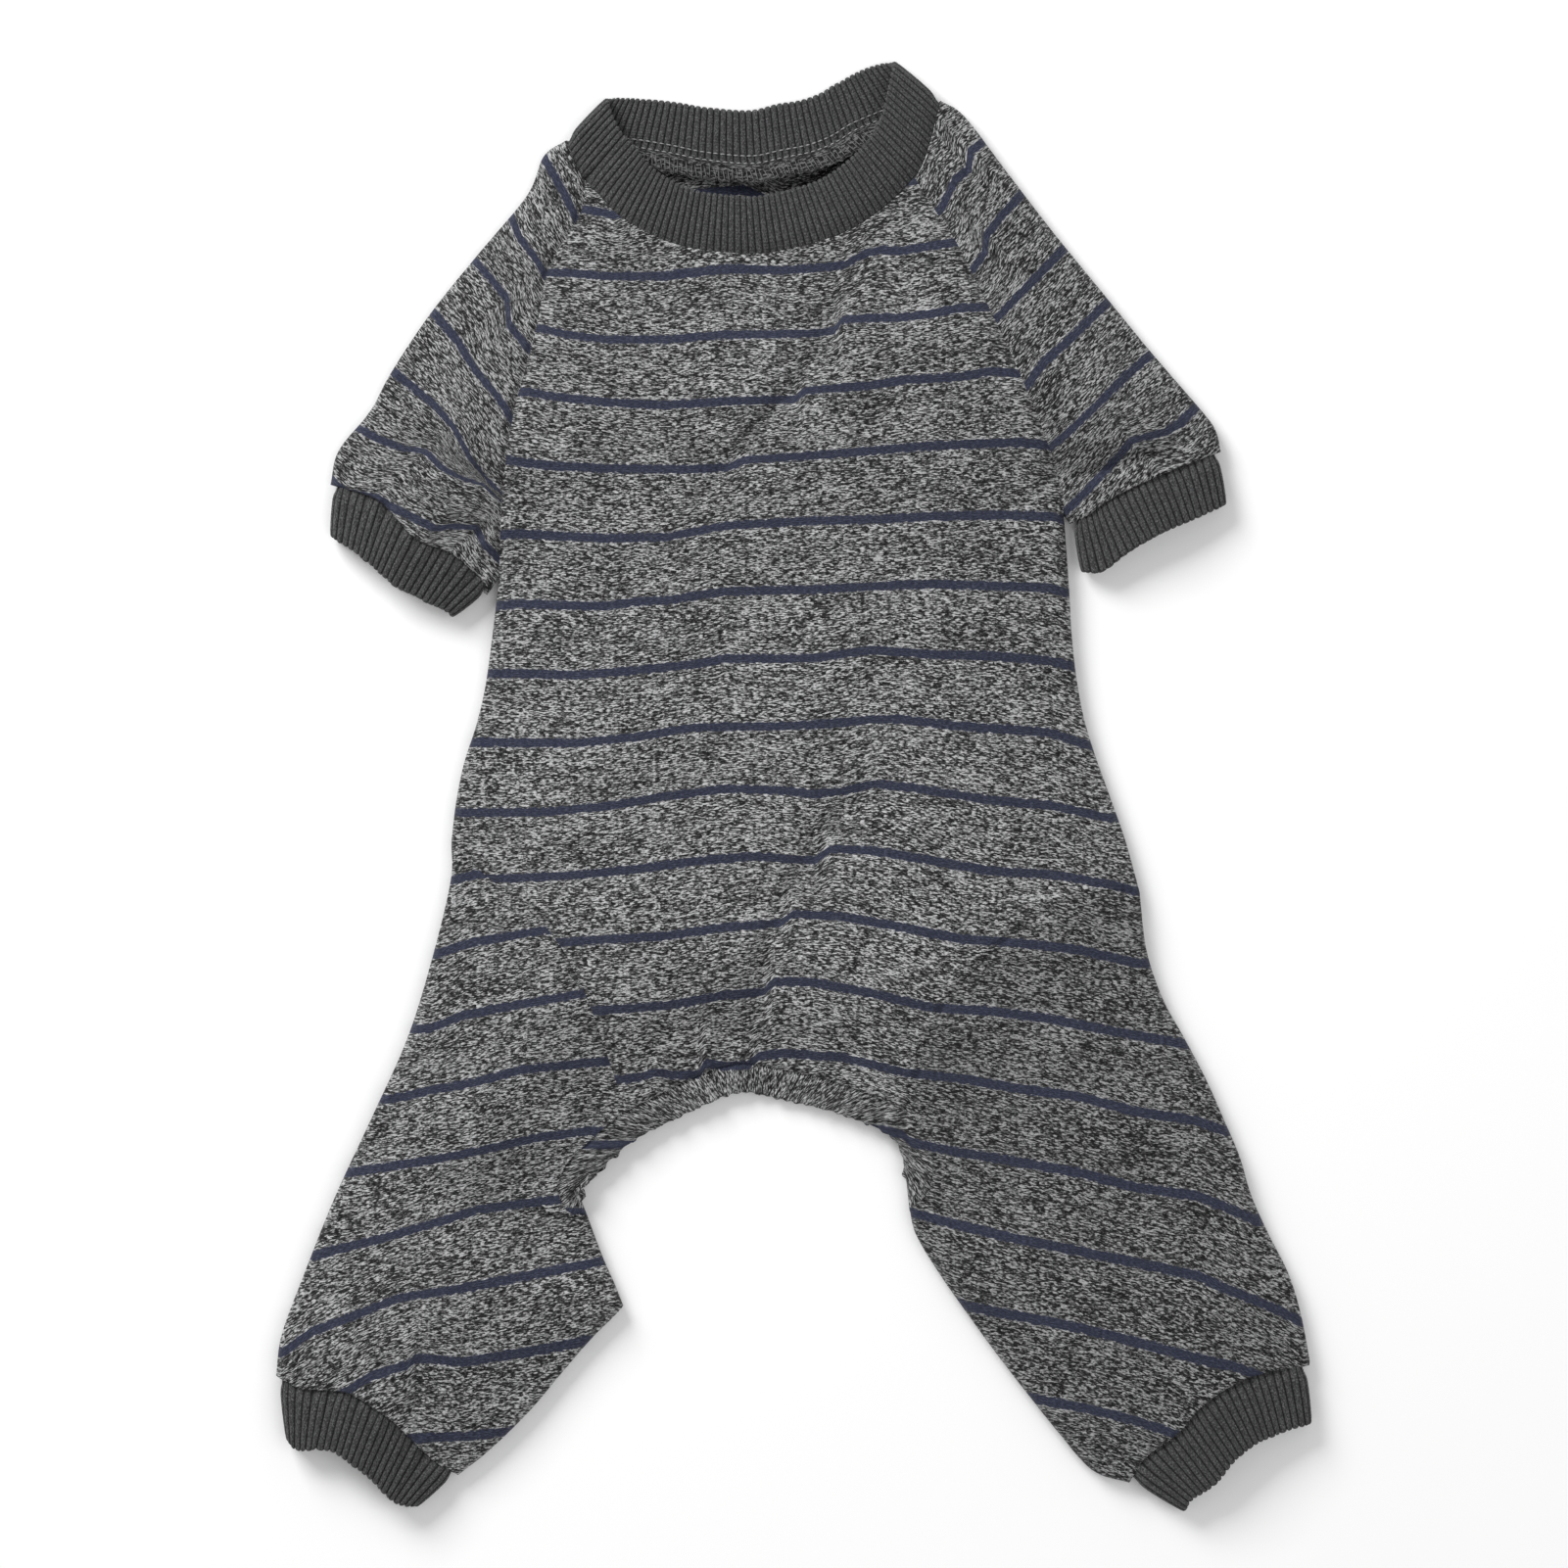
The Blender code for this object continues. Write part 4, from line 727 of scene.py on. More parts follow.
# The rib knit and the rear hem: near lies above and far below, each with its seam and free edge
def band_half(pairs, above, roll, rise, reach, pitch):
    """Seam and free edge of the upper or lower run of a band, a whole number of ribs long."""
    length = run((pairs[:, :2] + pairs[:, 2:]) / 2)
    turn_steps = roll * (1 - np.cos(np.linspace(0, pi / 2, 14)[:-1]))
    at = np.concatenate([turn_steps, np.linspace(roll, length[-1] - roll, 240),
                         (length[-1] - turn_steps)[::-1]])
    distance = np.minimum(at, length[-1] - at)
    lift = roll * np.sqrt(1 - (1 - np.clip(distance / roll, 0, 1)) ** 2)
    plan = np.column_stack([np.interp(at, length, pairs[:, axis]) for axis in range(4)])
    if above:
        free_height = roll + lift + (rise - 2 * roll) * swell(np.maximum(distance - roll, 0), reach)
    else:
        free_height = roll - lift
    seam_height = laid_height(plan[:, :2], above)
    corner = ease(distance / (2 * roll))
    seam_height = corner * seam_height + (1 - corner) * free_height
    both = np.column_stack([plan[:, :2], seam_height, plan[:, 2:], free_height])
    whole = run((both[:, :3] + both[:, 3:]) / 2)
    ribs = max(int(round(whole[-1] / pitch)), 4)
    steps = np.arange(ribs * RIB_SAMPLES) / (ribs * RIB_SAMPLES) * whole[-1]
    return np.column_stack([np.interp(steps, whole, both[:, axis]) for axis in range(6)])


RIB_SAMPLES = 8
TUCK = 0.0030              # how far a band runs on under the jersey


def rib_band(name, near, far, roll, rise, reach, pitches, material, shape):
    """A double band of rib knit all round, ribs on both faces, its free edge folded over softly."""
    loop = np.vstack([band_half(near, True, roll, rise, reach, pitches[0]),
                      band_half(far, False, roll, rise, reach, pitches[1])])
    seam, free = loop[:, :3], loop[:, 3:]
    middle = 0.5 * (seam + free)
    tangent = np.roll(middle, -1, axis=0) - np.roll(middle, 1, axis=0)
    across = free - seam
    width = np.linalg.norm(across, axis=1)[:, None]
    across = across / width
    normal = np.cross(tangent, across)
    normal /= np.linalg.norm(normal, axis=1)[:, None]
    top = np.argmax(middle[:, 2])
    if normal[top, 2] < 0:
        normal = -normal
    phase = np.arange(len(loop)) / RIB_SAMPLES
    groove = np.abs(2 * (phase % 1) - 1) ** shape.crest
    relief = -(shape.depth * groove)[:, None] * normal
    wall = shape.wall
    radius = wall / 2
    lean_in = seam - across * TUCK - normal * shape.sink
    rings = [(lean_in, -TUCK)]
    for share in np.linspace(0, 1, shape.steps):
        fade = ease(share * shape.steps / 2)
        puff = shape.puff * np.sin(pi * share) ** 0.7
        sunk = shape.sink * (1 - ease(share * 4))
        rings.append((seam + across * (width - radius) * share + relief * (0.3 + 0.7 * fade)
                      + normal * (puff - sunk * 0.5), share * width.mean()))
    for angle in np.linspace(0, pi, 7)[1:-1]:
        edge = free - across * radius - normal * radius
        rings.append((edge + (radius - shape.depth * groove[:, None])
                      * (np.sin(angle) * across + np.cos(angle) * normal), width.mean() + radius * angle))
    for share in np.linspace(1, 0, shape.steps // 2 + 1):
        rings.append((seam + across * (width - radius) * share - wall * normal - relief,
                      width.mean() * (2 - share) + wall))
    rings.append((lean_in - 0.6 * wall * normal, width.mean() * 2 + TUCK))
    points = np.stack([ring for ring, _ in rings], axis=1)
    down = np.array([place for _, place in rings])
    count, stations = points.shape[:2]
    index = np.arange(count * stations).reshape(count, stations)
    beyond = np.roll(index, -1, axis=0)
    after = np.roll(index, -1, axis=1)
    both = np.roll(beyond, -1, axis=1)
    faces = np.stack([index, beyond, both, after], axis=2).reshape(-1, 4)
    maps = np.stack([np.repeat(phase[:, None], stations, axis=1), np.repeat(down[None], count, axis=0)], axis=2)
    flat = points.reshape(-1, 3)
    flat[:, 2] = np.maximum(flat[:, 2], 0.00002)
    flat[:, :2] -= CENTRE
    return mesh_piece(name, flat, faces, {"knit": maps.reshape(-1, 2)}, material)


BandShape = namedtuple("BandShape", "wall depth crest puff sink steps")
RIB_SHAPE = BandShape(RIB_WALL, 0.00070, 3.0, 0.0004, 0.0020, 12)
HEM_SHAPE = BandShape(0.0016, 0.0, 1.0, 0.0, 0.0, 10)


# Finishes
BODY_SHADE = 0.80


def node(tree, kind, **sockets):
    """A new node with values for some of its inputs, by name or by number."""
    made = tree.nodes.new(kind)
    for key, value in sockets.items():
        made.inputs[int(key[1:]) if key[0] == "n" and key[1:].isdigit() else key.replace("_", " ")].default_value = value
    return made


def math(tree, operation, first, second=None, third=None, clamp=False):
    """The result of a Math node on sockets or numbers."""
    made = tree.nodes.new("ShaderNodeMath")
    made.operation = operation
    made.use_clamp = clamp
    for place, value in enumerate((first, second, third)):
        if value is None:
            continue
        if isinstance(value, (int, float)):
            made.inputs[place].default_value = value
        else:
            tree.links.new(value, made.inputs[place])
    return made.outputs[0]


def ramp(tree, source, stops, ease_kind="LINEAR"):
    """A grey or coloured ramp: (place, value) or (place, (r, g, b)) stops."""
    made = tree.nodes.new("ShaderNodeValToRGB")
    made.color_ramp.interpolation = ease_kind
    marks = made.color_ramp.elements
    while len(marks) < len(stops):
        marks.new(0.5)
    for mark, (place, value) in zip(marks, stops):
        mark.position = place
        colour = (value, value, value) if isinstance(value, (int, float)) else value
        mark.color = (*colour, 1)
    tree.links.new(source, made.inputs["Fac"])
    return made.outputs["Color"]


def blend(tree, kind, share, first, second):
    """Two colours mixed by a share."""
    made = tree.nodes.new("ShaderNodeMix")
    made.data_type = "RGBA"
    made.blend_type = kind
    for place, value in ((0, share), (6, first), (7, second)):
        if isinstance(value, (int, float)):
            made.inputs[place].default_value = value
        elif isinstance(value, tuple):
            made.inputs[place].default_value = (*value, 1)
        else:
            tree.links.new(value, made.inputs[place])
    return made.outputs[2]


def combined(tree, x, y):
    made = tree.nodes.new("ShaderNodeCombineXYZ")
    tree.links.new(x, made.inputs[0])
    tree.links.new(y, made.inputs[1])
    return made.outputs[0]


def noise(tree, vector, scale, detail, roughness=0.5):
    made = tree.nodes.new("ShaderNodeTexNoise")
    made.noise_dimensions = "2D"
    made.inputs["Scale"].default_value = scale
    made.inputs["Detail"].default_value = detail
    made.inputs["Roughness"].default_value = roughness
    tree.links.new(vector, made.inputs["Vector"])
    return made.outputs["Fac"]


def cells(tree, vector, scale):
    made = tree.nodes.new("ShaderNodeTexVoronoi")
    made.voronoi_dimensions = "2D"
    made.inputs["Scale"].default_value = scale
    tree.links.new(vector, made.inputs["Vector"])
    parts = tree.nodes.new("ShaderNodeSeparateColor")
    tree.links.new(made.outputs["Color"], parts.inputs[0])
    return parts.outputs[0]


def cloth_finish(name, roughness, sheen):
    """An empty cloth finish, and the along and down of its knit map."""
    material = bpy.data.materials.new(name)
    material.use_nodes = True
    tree = material.node_tree
    shader = tree.nodes["Principled BSDF"]
    shader.inputs["Roughness"].default_value = roughness
    shader.inputs["Sheen Weight"].default_value = sheen
    shader.inputs["Sheen Roughness"].default_value = 0.6
    shader.inputs["Specular IOR Level"].default_value = 0.2
    knit = tree.nodes.new("ShaderNodeUVMap")
    knit.uv_map = "knit"
    parts = tree.nodes.new("ShaderNodeSeparateXYZ")
    tree.links.new(knit.outputs[0], parts.inputs[0])
    return material, tree, shader, parts.outputs[0], parts.outputs[1]


def raised(tree, shader, height, distance, strength=1.0):
    bump = tree.nodes.new("ShaderNodeBump")
    bump.inputs["Strength"].default_value = strength
    bump.inputs["Distance"].default_value = distance
    tree.links.new(height, bump.inputs["Height"])
    tree.links.new(bump.outputs[0], shader.inputs["Normal"])


def heather(name, shade, striped, gathered=False):
    """Melange jersey: pale and black fibres in streaks along the courses, and narrow navy stripes."""
    material, tree, shader, along, stripe_count = cloth_finish(name, 0.95, 0.08)
    down = math(tree, "MULTIPLY", stripe_count, STRIPE_PITCH)
    if gathered:
        gathers = tree.nodes.new("ShaderNodeUVMap")
        gathers.uv_map = "gathers"
        parts = tree.nodes.new("ShaderNodeSeparateXYZ")
        tree.links.new(gathers.outputs[0], parts.inputs[0])
        along, down = parts.outputs[0], parts.outputs[1]
    grain = combined(tree, math(tree, "DIVIDE", along, STREAK_LENGTH), math(tree, "DIVIDE", down, COURSE))
    fibres = noise(tree, grain, 1.0, 2.0, 0.6)
    patch = cells(tree, grain, 0.9)
    mixed = math(tree, "ADD", math(tree, "MULTIPLY", fibres, 0.72), math(tree, "MULTIPLY", patch, 0.28))
    cloud = noise(tree, combined(tree, math(tree, "MULTIPLY", along, 55.0), math(tree, "MULTIPLY", down, 90.0)),
                  1.0, 2.0)
    mixed = math(tree, "ADD", mixed, math(tree, "MULTIPLY", math(tree, "SUBTRACT", cloud, 0.5), 0.10))
    grey = ramp(tree, mixed, [(place, value * shade) for place, value in HEATHER_TONES])
    # Painted light: the body's jersey is lightest in its middle and darker towards its edges, a pool of light painted
    # into the colour.
    if shade == BODY_SHADE:
        spot = tree.nodes.new("ShaderNodeTexCoord")
        centred = tree.nodes.new("ShaderNodeMapping")
        centred.inputs["Location"].default_value = (0.0, 0.1, 0)
        centred.inputs["Scale"].default_value = (5.5, 4.2, 0)
        tree.links.new(spot.outputs["Object"], centred.inputs["Vector"])
        painted_light_pool = tree.nodes.new("ShaderNodeTexGradient")
        painted_light_pool.gradient_type = "SPHERICAL"
        tree.links.new(centred.outputs[0], painted_light_pool.inputs["Vector"])
        grey = blend(tree, "MULTIPLY", 1.0, grey, ramp(tree, painted_light_pool.outputs["Fac"], [(0.0, 0.78), (0.8, 1.0)]))
    colour = blend(tree, "MULTIPLY", 1.0, grey, (0.985, 0.99, 1.0))
    if striped:
        wander = math(tree, "SUBTRACT", noise(tree, grain, 0.7, 1.0), 0.5)
        place = math(tree, "ADD", stripe_count, math(tree, "MULTIPLY", wander, 0.055))
        off = math(tree, "ABSOLUTE", math(tree, "SUBTRACT", place, math(tree, "ROUND", place)))
        half = STRIPE_WIDTH / STRIPE_PITCH / 2
        edge = math(tree, "DIVIDE", math(tree, "SUBTRACT", half + 0.006, off), 0.012, clamp=True)
        rim = math(tree, "SUBTRACT", 1.0,
                   math(tree, "DIVIDE", math(tree, "ABSOLUTE", math(tree, "SUBTRACT", off, half + 0.012)), 0.012),
                   clamp=True)
        colour = blend(tree, "SCREEN", math(tree, "MULTIPLY", rim, 0.10), colour, (0.6, 0.6, 0.62))
        ink = ramp(tree, fibres, [(0.30, (0.014, 0.016, 0.032)), (0.52, (0.024, 0.028, 0.052)),
                                  (0.72, (0.046, 0.053, 0.090))])
        colour = blend(tree, "MIX", math(tree, "MULTIPLY", edge, 0.97), colour, ink)
    tree.links.new(colour, shader.inputs["Base Color"])
    loops = math(tree, "SINE", math(tree, "MULTIPLY", down, 2 * pi / 0.0007))
    raised(tree, shader, math(tree, "ADD", mixed, math(tree, "MULTIPLY", loops, 0.1)), 0.00035, 0.8)
    return material


def rib_knit(name):
    """Charcoal rib knit: broad flat wales, narrow grooves between them darkened by painted shade, and pale flecks."""
    material, tree, shader, ribs, down = cloth_finish(name, 0.92, 0.12)
    within = math(tree, "ABSOLUTE", math(tree, "SUBTRACT", math(tree, "MULTIPLY", math(tree, "FRACT", ribs), 2.0), 1.0))
    # Painted shade: the colour darkens in the grooves between the ribs, where less light falls.
    groove = math(tree, "DIVIDE", math(tree, "SUBTRACT", within, 0.60), 0.3, clamp=True)
    grain = combined(tree, math(tree, "MULTIPLY", ribs, 7.0), math(tree, "DIVIDE", down, 0.0007))
    fleck = noise(tree, grain, 1.0, 2.0, 0.65)
    speck = cells(tree, grain, 1.2)
    mixed = math(tree, "ADD", math(tree, "MULTIPLY", fleck, 0.75), math(tree, "MULTIPLY", speck, 0.25))
    grey = ramp(tree, mixed, CHARCOAL_TONES)
    painted_groove_shade = math(tree, "SUBTRACT", 1.0, math(tree, "MULTIPLY", groove, 0.86))
    colour = blend(tree, "MULTIPLY", 1.0, grey, (0.97, 0.98, 1.0))
    shade = tree.nodes.new("ShaderNodeCombineXYZ")
    for socket in shade.inputs:
        tree.links.new(painted_groove_shade, socket)
    colour = blend(tree, "MULTIPLY", 1.0, colour, shade.outputs[0])
    tree.links.new(colour, shader.inputs["Base Color"])
    stitch = math(tree, "SINE", math(tree, "MULTIPLY", down, 2 * pi / 0.0011))
    raised(tree, shader, math(tree, "ADD", mixed, math(tree, "MULTIPLY", stitch, 0.16)), 0.00035, 0.9)
    return material


def thread_finish(name, tone):
    material = bpy.data.materials.new(name)
    material.use_nodes = True
    tree = material.node_tree
    shader = tree.nodes["Principled BSDF"]
    shader.inputs["Roughness"].default_value = 0.8
    place = tree.nodes.new("ShaderNodeTexCoord")
    fibres = tree.nodes.new("ShaderNodeTexNoise")
    fibres.inputs["Scale"].default_value = 2500
    tree.links.new(place.outputs["Object"], fibres.inputs["Vector"])
    tree.links.new(ramp(tree, fibres.outputs["Fac"], [(0.3, tone * 0.6), (0.7, tone * 1.3)]), shader.inputs["Base Color"])
    raised(tree, shader, fibres.outputs["Fac"], 0.0001)
    return material


body_jersey = heather("body_jersey", BODY_SHADE, True)
# The sleeves and legs take darker copies of the same jersey: painted shade.
sleeve_jersey = heather("sleeve_jersey", 0.62, True)
leg_jersey = {"left": heather("left_leg_jersey", 0.70, True), "right": heather("right_leg_jersey", 0.53, True)}
charcoal_rib = rib_knit("charcoal_rib")
gathered_jersey = heather("hem_jersey", 0.66, True, True)
plain_jersey = heather("allowance_jersey", 0.20, False)
pale_thread = thread_finish("needle_thread", 0.34)
grey_thread = thread_finish("serging_thread", 0.13)

# The jersey
NECK_SIDES = {
    "left": (cut(neck_near, RAGLAN_START["left"], 0), cut(neck_far, BELLY_RAGLAN_START["left"], 1)),
    "right": (cut(neck_near, RAGLAN_START["right"], 1), cut(neck_far, BELLY_RAGLAN_START["right"], 0)),
}
THIGHS = {
    "left": (cut(rump_seam, LEG_SEAM_END["left"], 0), cut(belly_seam, BELLY_SEAM_END["left"], 1)),
    "right": (cut(rump_seam, LEG_SEAM_END["right"], 1), cut(belly_seam, BELLY_SEAM_END["right"], 0)),
}

back = body_panel("back_cloth", cut(neck_near, RAGLAN_START["left"], RAGLAN_START["right"]), "raglan", "seam",
                  cut(rump_seam, LEG_SEAM_END["left"], LEG_SEAM_END["right"]), True, (90, 60), 170, body_jersey)
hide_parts("back_panel")
belly = body_panel("belly_cloth", cut(neck_far, BELLY_RAGLAN_START["left"], BELLY_RAGLAN_START["right"]),
                   "raglan_below", "seam_below",
                   cut(belly_seam, BELLY_SEAM_END["left"], BELLY_SEAM_END["right"]), False, (48, 40), 90,
                   body_jersey)
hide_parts("belly_panel")

sleeves, legs = {}, {}
for side, line in LINES.items():
    edges = [joined([line[seam], line["underarm"]], (96, 6)) for seam in ("raglan", "raglan_below")]
    starts = NECK_SIDES[side]
    sleeves[side] = limb(f"sleeve_{side}_cloth", (starts[0], edges[0]), (starts[1], edges[1]), line["shoulder"],
                         line["sleeve_end"][::-1], 0.96, 96, 6, 84, f"{side}_sleeve", 0, sleeve_jersey)
    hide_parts(f"sleeve_{side}")
    seat = SEAT
    layers = []
    for seam, thigh in zip(("seam", "seam_below"), THIGHS[side]):
        edge = np.vstack([pick(line[seam], seat), pick(thigh, np.linspace(0, 1, 41)[1:] ** 0.85),
                          joined([line["inner"]], (90,))[1:]])
        layers.append((np.array([edge[0], line["hip"]]), edge))
    legs[side] = limb(f"leg_{side}_cloth", layers[0], layers[1], line["outer"], line["leg_end"][::-1],
                      THIGH_SHARE[side], len(seat) - 1 + 40, 90, 100, "left_leg" if side == "left" else "body", 0,
                      leg_jersey[side])
    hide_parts(f"leg_{side}")

# The rib knit
collar = rib_band("collar_rib", np.column_stack([neck_near, collar_near]), np.column_stack([neck_far, collar_far]),
                  CUFF_ROLL, COLLAR_RISE, COLLAR_REACH, (0.00207, 0.00220), charcoal_rib, RIB_SHAPE)
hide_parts("collar")
for side, line in LINES.items():
    for place, end, size in (("front", line["sleeve_end"], FRONT_CUFF_LENGTH),
                             ("hind", line["leg_end"], HIND_CUFF_LENGTH)):
        whole = run(end)[-1]
        seam = cut(end, CUFF_STEP / whole, 1 - CUFF_STEP / whole, 120)
        pairs = np.column_stack([seam, lean(seam, CUFF_LEAN[f"{place}_{side}"], size)])
        rib_band(f"{place}_cuff_{side}_rib", pairs, pairs[::-1], CUFF_ROLL, CUFF_HEIGHT,
                                      whole / 2, (0.00240, 0.00240), charcoal_rib, RIB_SHAPE)
        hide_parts(f"{place}_cuff_{side}")

# The gathered hem of the rear opening
def hem_piece():
    """The narrow gathered hem: its seam on the panels and legs, its edge in small waves."""
    loops = []
    for seam, edge, above in ((rump_seam, rump_edge, True), (belly_seam, belly_edge, False)):
        steps = 360
        seam_points = cut(seam, 0, 1, steps + 1)[:-1]
        edge_points = cut(edge, 0, 1, steps + 1)[:-1]
        along = run(edge)[-1] * np.arange(steps) / steps
        fade = ease(np.minimum(along, run(edge)[-1] - along) / 0.006)
        middle = 0.5 * (seam_points + edge_points)
        lengths = []
        rows = []
        for share in np.linspace(-0.12, 1, 15):
            plan = seam_points + (edge_points - seam_points) * share
            out = (edge_points - seam_points) / np.linalg.norm(edge_points - seam_points, axis=1)[:, None]
            plan = plan + out * (0.0004 * pucker(along, 0.0034) * fade * max(share, 0))[:, None]
            height = laid_height(plan, above)
            gather = 0.00045 * pucker(along, 0.0042) * np.sin(pi * np.clip(share, 0, 1)) * fade
            if above:
                height = height + gather - 0.0008 * np.exp(-(share / 0.12) ** 2)
            rows.append(np.column_stack([plan, height]))
        loops.append(np.stack(rows, axis=1))
    outer = np.concatenate(loops, axis=0)
    down = np.gradient(outer, axis=1)
    around = (np.roll(outer, -1, axis=0) - np.roll(outer, 1, axis=0)) / 2
    normal = np.cross(around, down)
    normal /= np.maximum(np.linalg.norm(normal, axis=2), 1e-12)[..., None]
    if normal[180, 7, 2] < 0:
        normal = -normal
    radius = 0.0008
    across = down / np.linalg.norm(down, axis=2)[..., None]
    rings = [outer[:, i] for i in range(outer.shape[1])]
    for angle in np.linspace(0, pi, 6)[1:-1]:
        rings.append(outer[:, -1] - radius * normal[:, -1]
                     + radius * (np.sin(angle) * across[:, -1] + np.cos(angle) * normal[:, -1]))
    rings += [outer[:, i] - 2 * radius * normal[:, i] for i in range(outer.shape[1] - 1, -1, -2)]
    points = np.stack(rings, axis=1)
    count, stations = points.shape[:2]
    index = np.arange(count * stations).reshape(count, stations)
    beyond = np.roll(index, -1, axis=0)
    after = np.roll(index, -1, axis=1)
    both = np.roll(beyond, -1, axis=1)
    faces = np.stack([index, beyond, both, after], axis=2).reshape(-1, 4)
    maps = knit_map(points.reshape(-1, 3)[:, :2].copy(), "body")
    around_edge = np.arange(count)[:, None] / count * (run(rump_edge)[-1] + run(belly_edge)[-1])
    across_edge = np.concatenate([[0], np.cumsum(np.linalg.norm(np.diff(points[180], axis=0), axis=1))])
    gathers = np.stack([np.repeat(across_edge[None], count, axis=0),
                        np.repeat(around_edge, stations, axis=1)], axis=2).reshape(-1, 2)
    flat = points.reshape(-1, 3)
    flat[:, 2] = np.maximum(flat[:, 2], 0.00002)
    flat[:, :2] -= CENTRE
    return mesh_piece("rear_hem_cloth", flat, faces, {"knit": maps, "gathers": gathers}, gathered_jersey)


hem = hem_piece()
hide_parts("rear_hem")



def small_parts(name, places, shape, material):
    """Copies of one thread end, each laid along its own line: start and end points of every copy."""
    bpy.ops.object.select_all(action="DESELECT")
    bpy.ops.mesh.primitive_cylinder_add(vertices=6, radius=1, depth=1, location=(0, 0, 0))
    one = bpy.context.active_object
    bpy.ops.object.mode_set(mode="EDIT")
    bpy.ops.mesh.select_all(action="SELECT")
    bpy.ops.mesh.subdivide(number_cuts=2)
    bpy.ops.object.mode_set(mode="OBJECT")
    points = np.array([vertex.co[:] for vertex in one.data.vertices])
    faces = [list(face.vertices) for face in one.data.polygons]
    bpy.data.objects.remove(one, do_unlink=True)
    radial = points[:, :2] / np.maximum(np.linalg.norm(points[:, :2], axis=1), 1e-6)[:, None]
    radial *= np.minimum(np.linalg.norm(points[:, :2], axis=1), 1)[:, None]
    bow = np.sqrt(np.clip(1 - (2 * points[:, 2] * 0.985) ** 2, 0, 1))
    every, every_face = [], []
    for start, end in places:
        way = end - start
        side = np.cross(way, [0, 0, 1.0])
        side /= np.linalg.norm(side)
        over = np.cross(side, way)
        over /= np.linalg.norm(over)
        body = (start + end) / 2 + points[:, 2:] * way + shape.radius * bow[:, None] * (
            radial[:, :1] * side + radial[:, 1:] * over) + shape.arch * (1 - (2 * points[:, 2:]) ** 2) * over
        every_face += [[index + len(every) * len(points) for index in face] for face in faces]
        every.append(body)
    mesh = bpy.data.meshes.new(name)
    flat = np.vstack(every)
    flat[:, :2] -= CENTRE
    mesh.from_pydata(flat.tolist(), [], every_face)
    mesh.shade_smooth()
    mesh.materials.append(material)
    piece = bpy.data.objects.new(name, mesh)
    bpy.context.scene.collection.objects.link(piece)
    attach(piece, "root")
    return piece


Thread = namedtuple("Thread", "radius arch")


def beside_seam(offset, shares):
    """Points beside the far neck seam: offset is towards the collar's edge."""
    line = pick(neck_far, shares)
    way = np.gradient(line, axis=0)
    way /= np.linalg.norm(way, axis=1)[:, None]
    off = np.column_stack([way[:, 1], -way[:, 0]])
    if off[len(off) // 2, 1] < 0:
        off = -off
    return line + off * np.asarray(offset)[..., None]


# The seam allowance inside the far side of the neck, serged and lifted off the cloth under it
NECK_INSIDE = (0.135, 0.865)       # shares of the far neck seam, from its right end
ALLOWANCE = 0.0064
NEEDLE_ROWS = (0.0004, 0.0029)
NEEDLE_PITCH = 0.00224


def allowance_piece():
    shares = np.linspace(*NECK_INSIDE, 420)
    along = shares * run(neck_far)[-1]
    ends = ease(np.minimum(shares - shares[0], shares[-1] - shares) / 0.05)
    lifted = 0.0018 + 0.0022 * ease((0.75 - shares) / 0.5)
    rings = []
    for angle in np.linspace(0, 2 * pi, 22, endpoint=False):
        across = 0.5 - 0.5 * np.cos(angle)
        thick = 0.0008 * np.sin(angle) * (0.6 + 0.4 * np.sin(pi * across))
        wave = 0.00045 * pucker(along, 0.0031) * across
        offset = 0.0002 - (ALLOWANCE * (0.35 + 0.65 * ends) + wave) * across
        height = 0.0030 + lifted * across ** 1.5 * ends + thick + 0.0003 * pucker(along, 0.0052) * across
        rings.append(np.column_stack([beside_seam(offset, shares), height]))
    points = np.stack(rings, axis=1)
    count, stations = points.shape[:2]
    index = np.arange(count * stations).reshape(count, stations)
    after = np.roll(index, -1, axis=1)
    faces = np.stack([index[:-1], index[1:], after[1:], after[:-1]], axis=2).reshape(-1, 4).tolist()
    faces += [index[0].tolist(), index[-1][::-1].tolist()]
    around = np.linspace(0, 0.014, stations)
    maps = np.stack([np.repeat(along[:, None], stations, axis=1),
                     np.repeat(around[None] / STRIPE_PITCH, count, axis=0)], axis=2).reshape(-1, 2)
    flat = points.reshape(-1, 3)
    flat[:, :2] -= CENTRE
    return mesh_piece("neck_allowance", flat, faces, {"knit": maps}, plain_jersey)


allowance = allowance_piece()
span = (NECK_INSIDE[1] - NECK_INSIDE[0]) * run(neck_far)[-1]
stitch_places = []
for row, offset in enumerate(NEEDLE_ROWS):
    count = int(span / NEEDLE_PITCH)
    starts = NECK_INSIDE[0] + (np.arange(count) + 0.5 * row) / count * (NECK_INSIDE[1] - NECK_INSIDE[0])
    ends = starts + 0.74 / count * (NECK_INSIDE[1] - NECK_INSIDE[0])
    height = np.full(count, 0.0031 if row == 0 else 0.0027)
    stitch_places += list(zip(np.column_stack([beside_seam(offset, starts), height]),
                              np.column_stack([beside_seam(offset, ends), height])))
needle_stitches = small_parts("needle_stitches", stitch_places, Thread(0.00020, 0.0001), pale_thread)

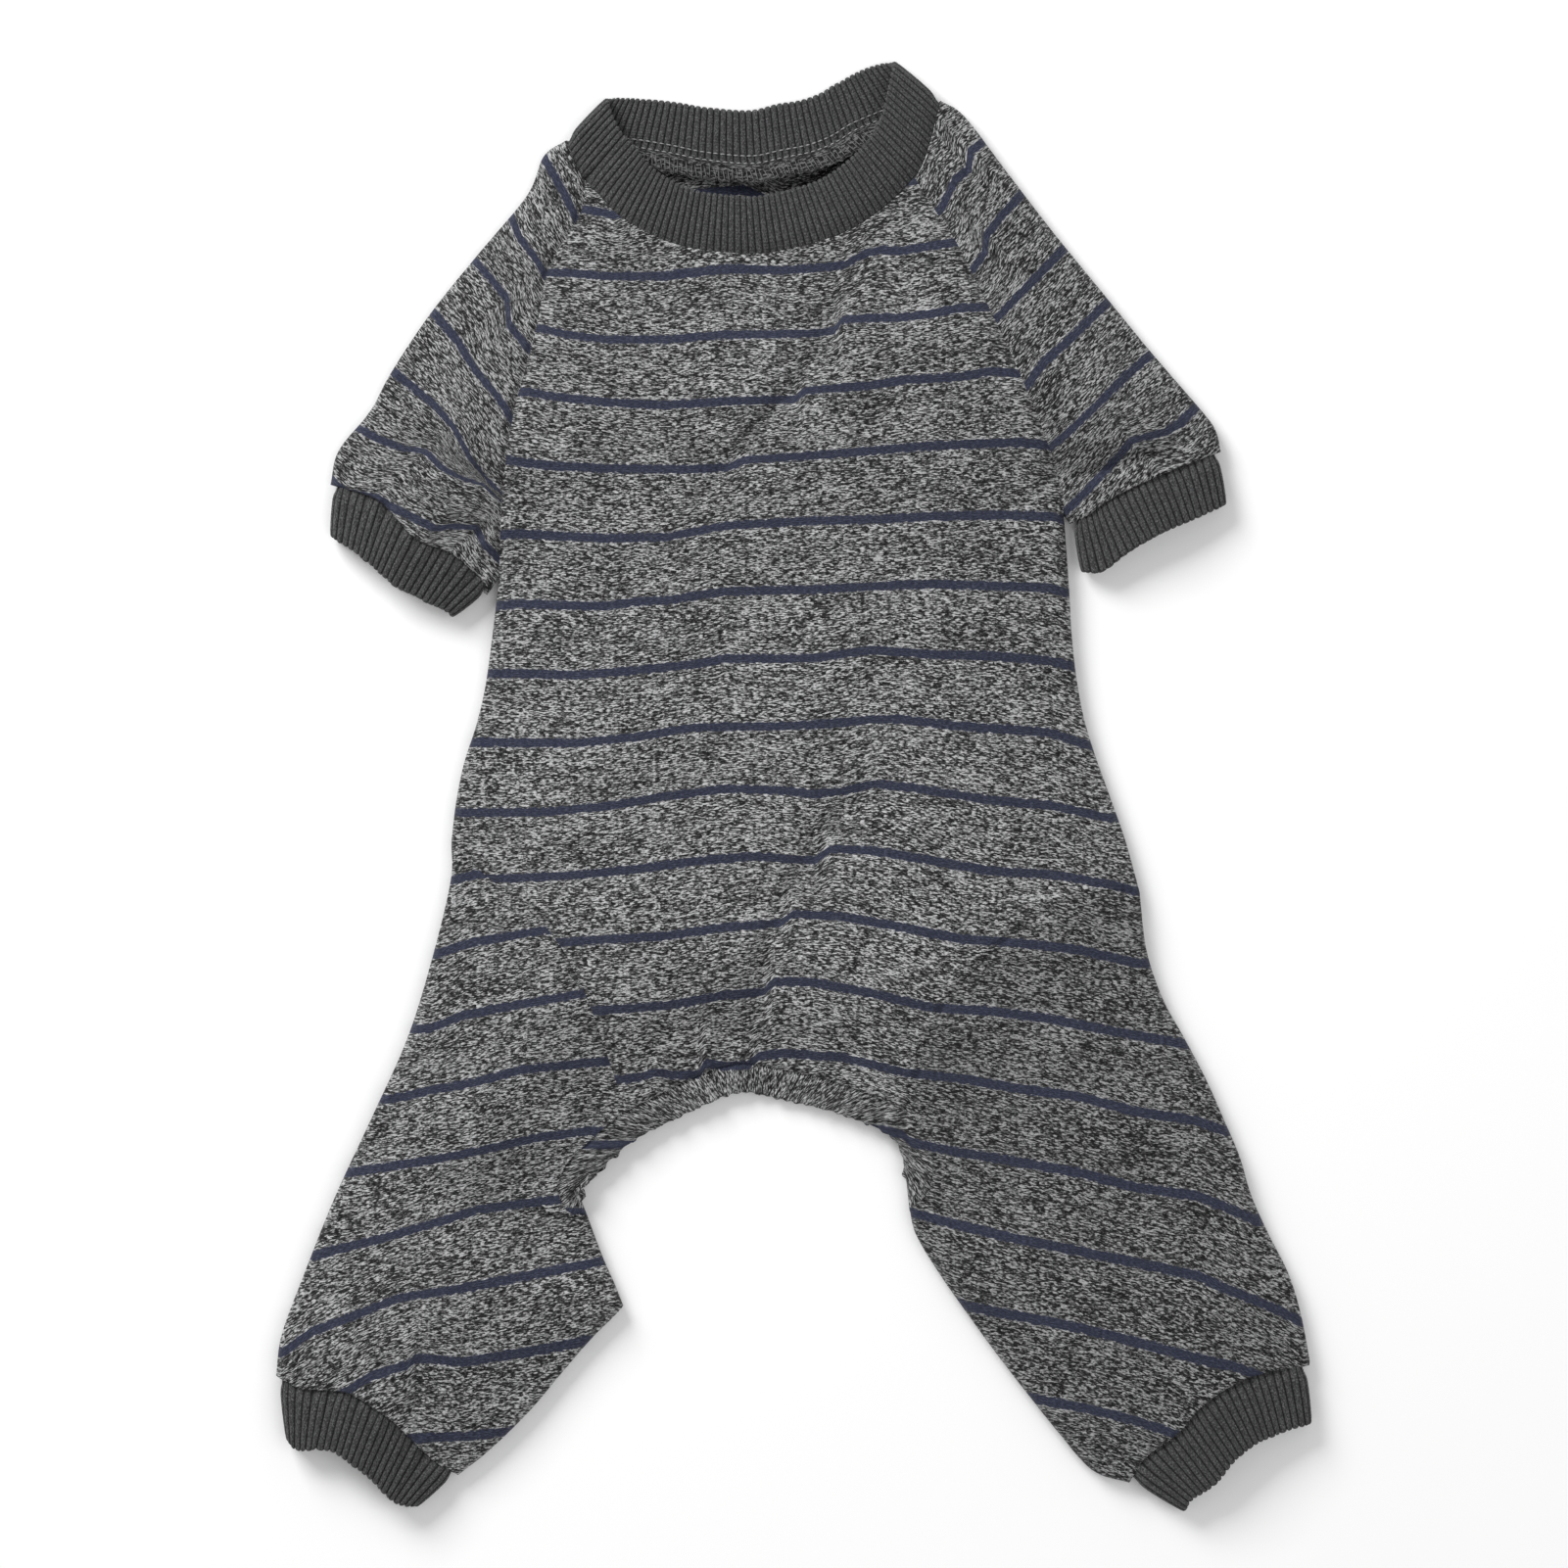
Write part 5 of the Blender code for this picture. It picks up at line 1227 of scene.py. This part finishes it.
serging_places = []
count = int(span / 0.0015)
shares = NECK_INSIDE[0] + 0.012 + np.arange(count) / count * (NECK_INSIDE[1] - NECK_INSIDE[0] - 0.03)
scatter = np.random.default_rng(3)
for share in shares:
    lift = 0.0018 + 0.0022 * float(ease((0.75 - share) / 0.5))
    jitter = scatter.uniform(-0.003, 0.003, 2)
    low, high = scatter.uniform(0.86, 1.04), scatter.uniform(0.12, 0.3)
    start = beside_seam(np.full(3, -ALLOWANCE * low), share + jitter[0] + np.array([-1e-4, 0, 1e-4]))[1]
    end = beside_seam(np.full(3, -ALLOWANCE * high), share + 0.009 + jitter[1] + np.array([-1e-4, 0, 1e-4]))[1]
    serging_places.append((np.array([*start, 0.0037 + lift * low]), np.array([*end, 0.0040 + lift * high ** 1.5])))
serging = small_parts("neck_serging", serging_places, Thread(0.00016, 0.0003), grey_thread)

# The floor, the light and the camera
bpy.ops.object.select_all(action="DESELECT")
bpy.ops.mesh.primitive_plane_add(size=12, location=(0, 0, -0.0003))
floor = bpy.context.active_object
floor.name = "floor"
floor_finish = bpy.data.materials.new("pale_floor")
floor_finish.use_nodes = True
floor_finish.node_tree.nodes["Principled BSDF"].inputs["Base Color"].default_value = (0.97, 0.97, 0.97, 1)
floor_finish.node_tree.nodes["Principled BSDF"].inputs["Roughness"].default_value = 0.9
floor.data.materials.append(floor_finish)

world = bpy.data.worlds.new("studio")
world.use_nodes = True
world.node_tree.nodes["Background"].inputs["Color"].default_value = (1, 1, 1, 1)
world.node_tree.nodes["Background"].inputs["Strength"].default_value = 0.42
bpy.context.scene.world = world
bpy.context.scene.view_settings.view_transform = "Standard"

for name, place, size, power in (("key_light", (-0.95, 1.15, 1.0), 0.9, 30), ("fill_light", (0.9, -0.5, 1.7), 1.8, 12)):
    lamp = bpy.data.lights.new(name, "AREA")
    lamp.size = size
    lamp.energy = power
    light = bpy.data.objects.new(name, lamp)
    light.location = place
    light.rotation_euler = (-Vector(place)).to_track_quat("-Z", "Y").to_euler()
    bpy.context.scene.collection.objects.link(light)

camera_data = bpy.data.cameras.new("camera")
camera_data.lens = 200
camera_data.sensor_width = 36
camera_data.clip_end = 20
camera = bpy.data.objects.new("camera", camera_data)
camera.location = (-0.0034276, 0.0007077, 1601 * PIXEL * 200 / 36)
bpy.context.scene.collection.objects.link(camera)
bpy.context.scene.camera = camera
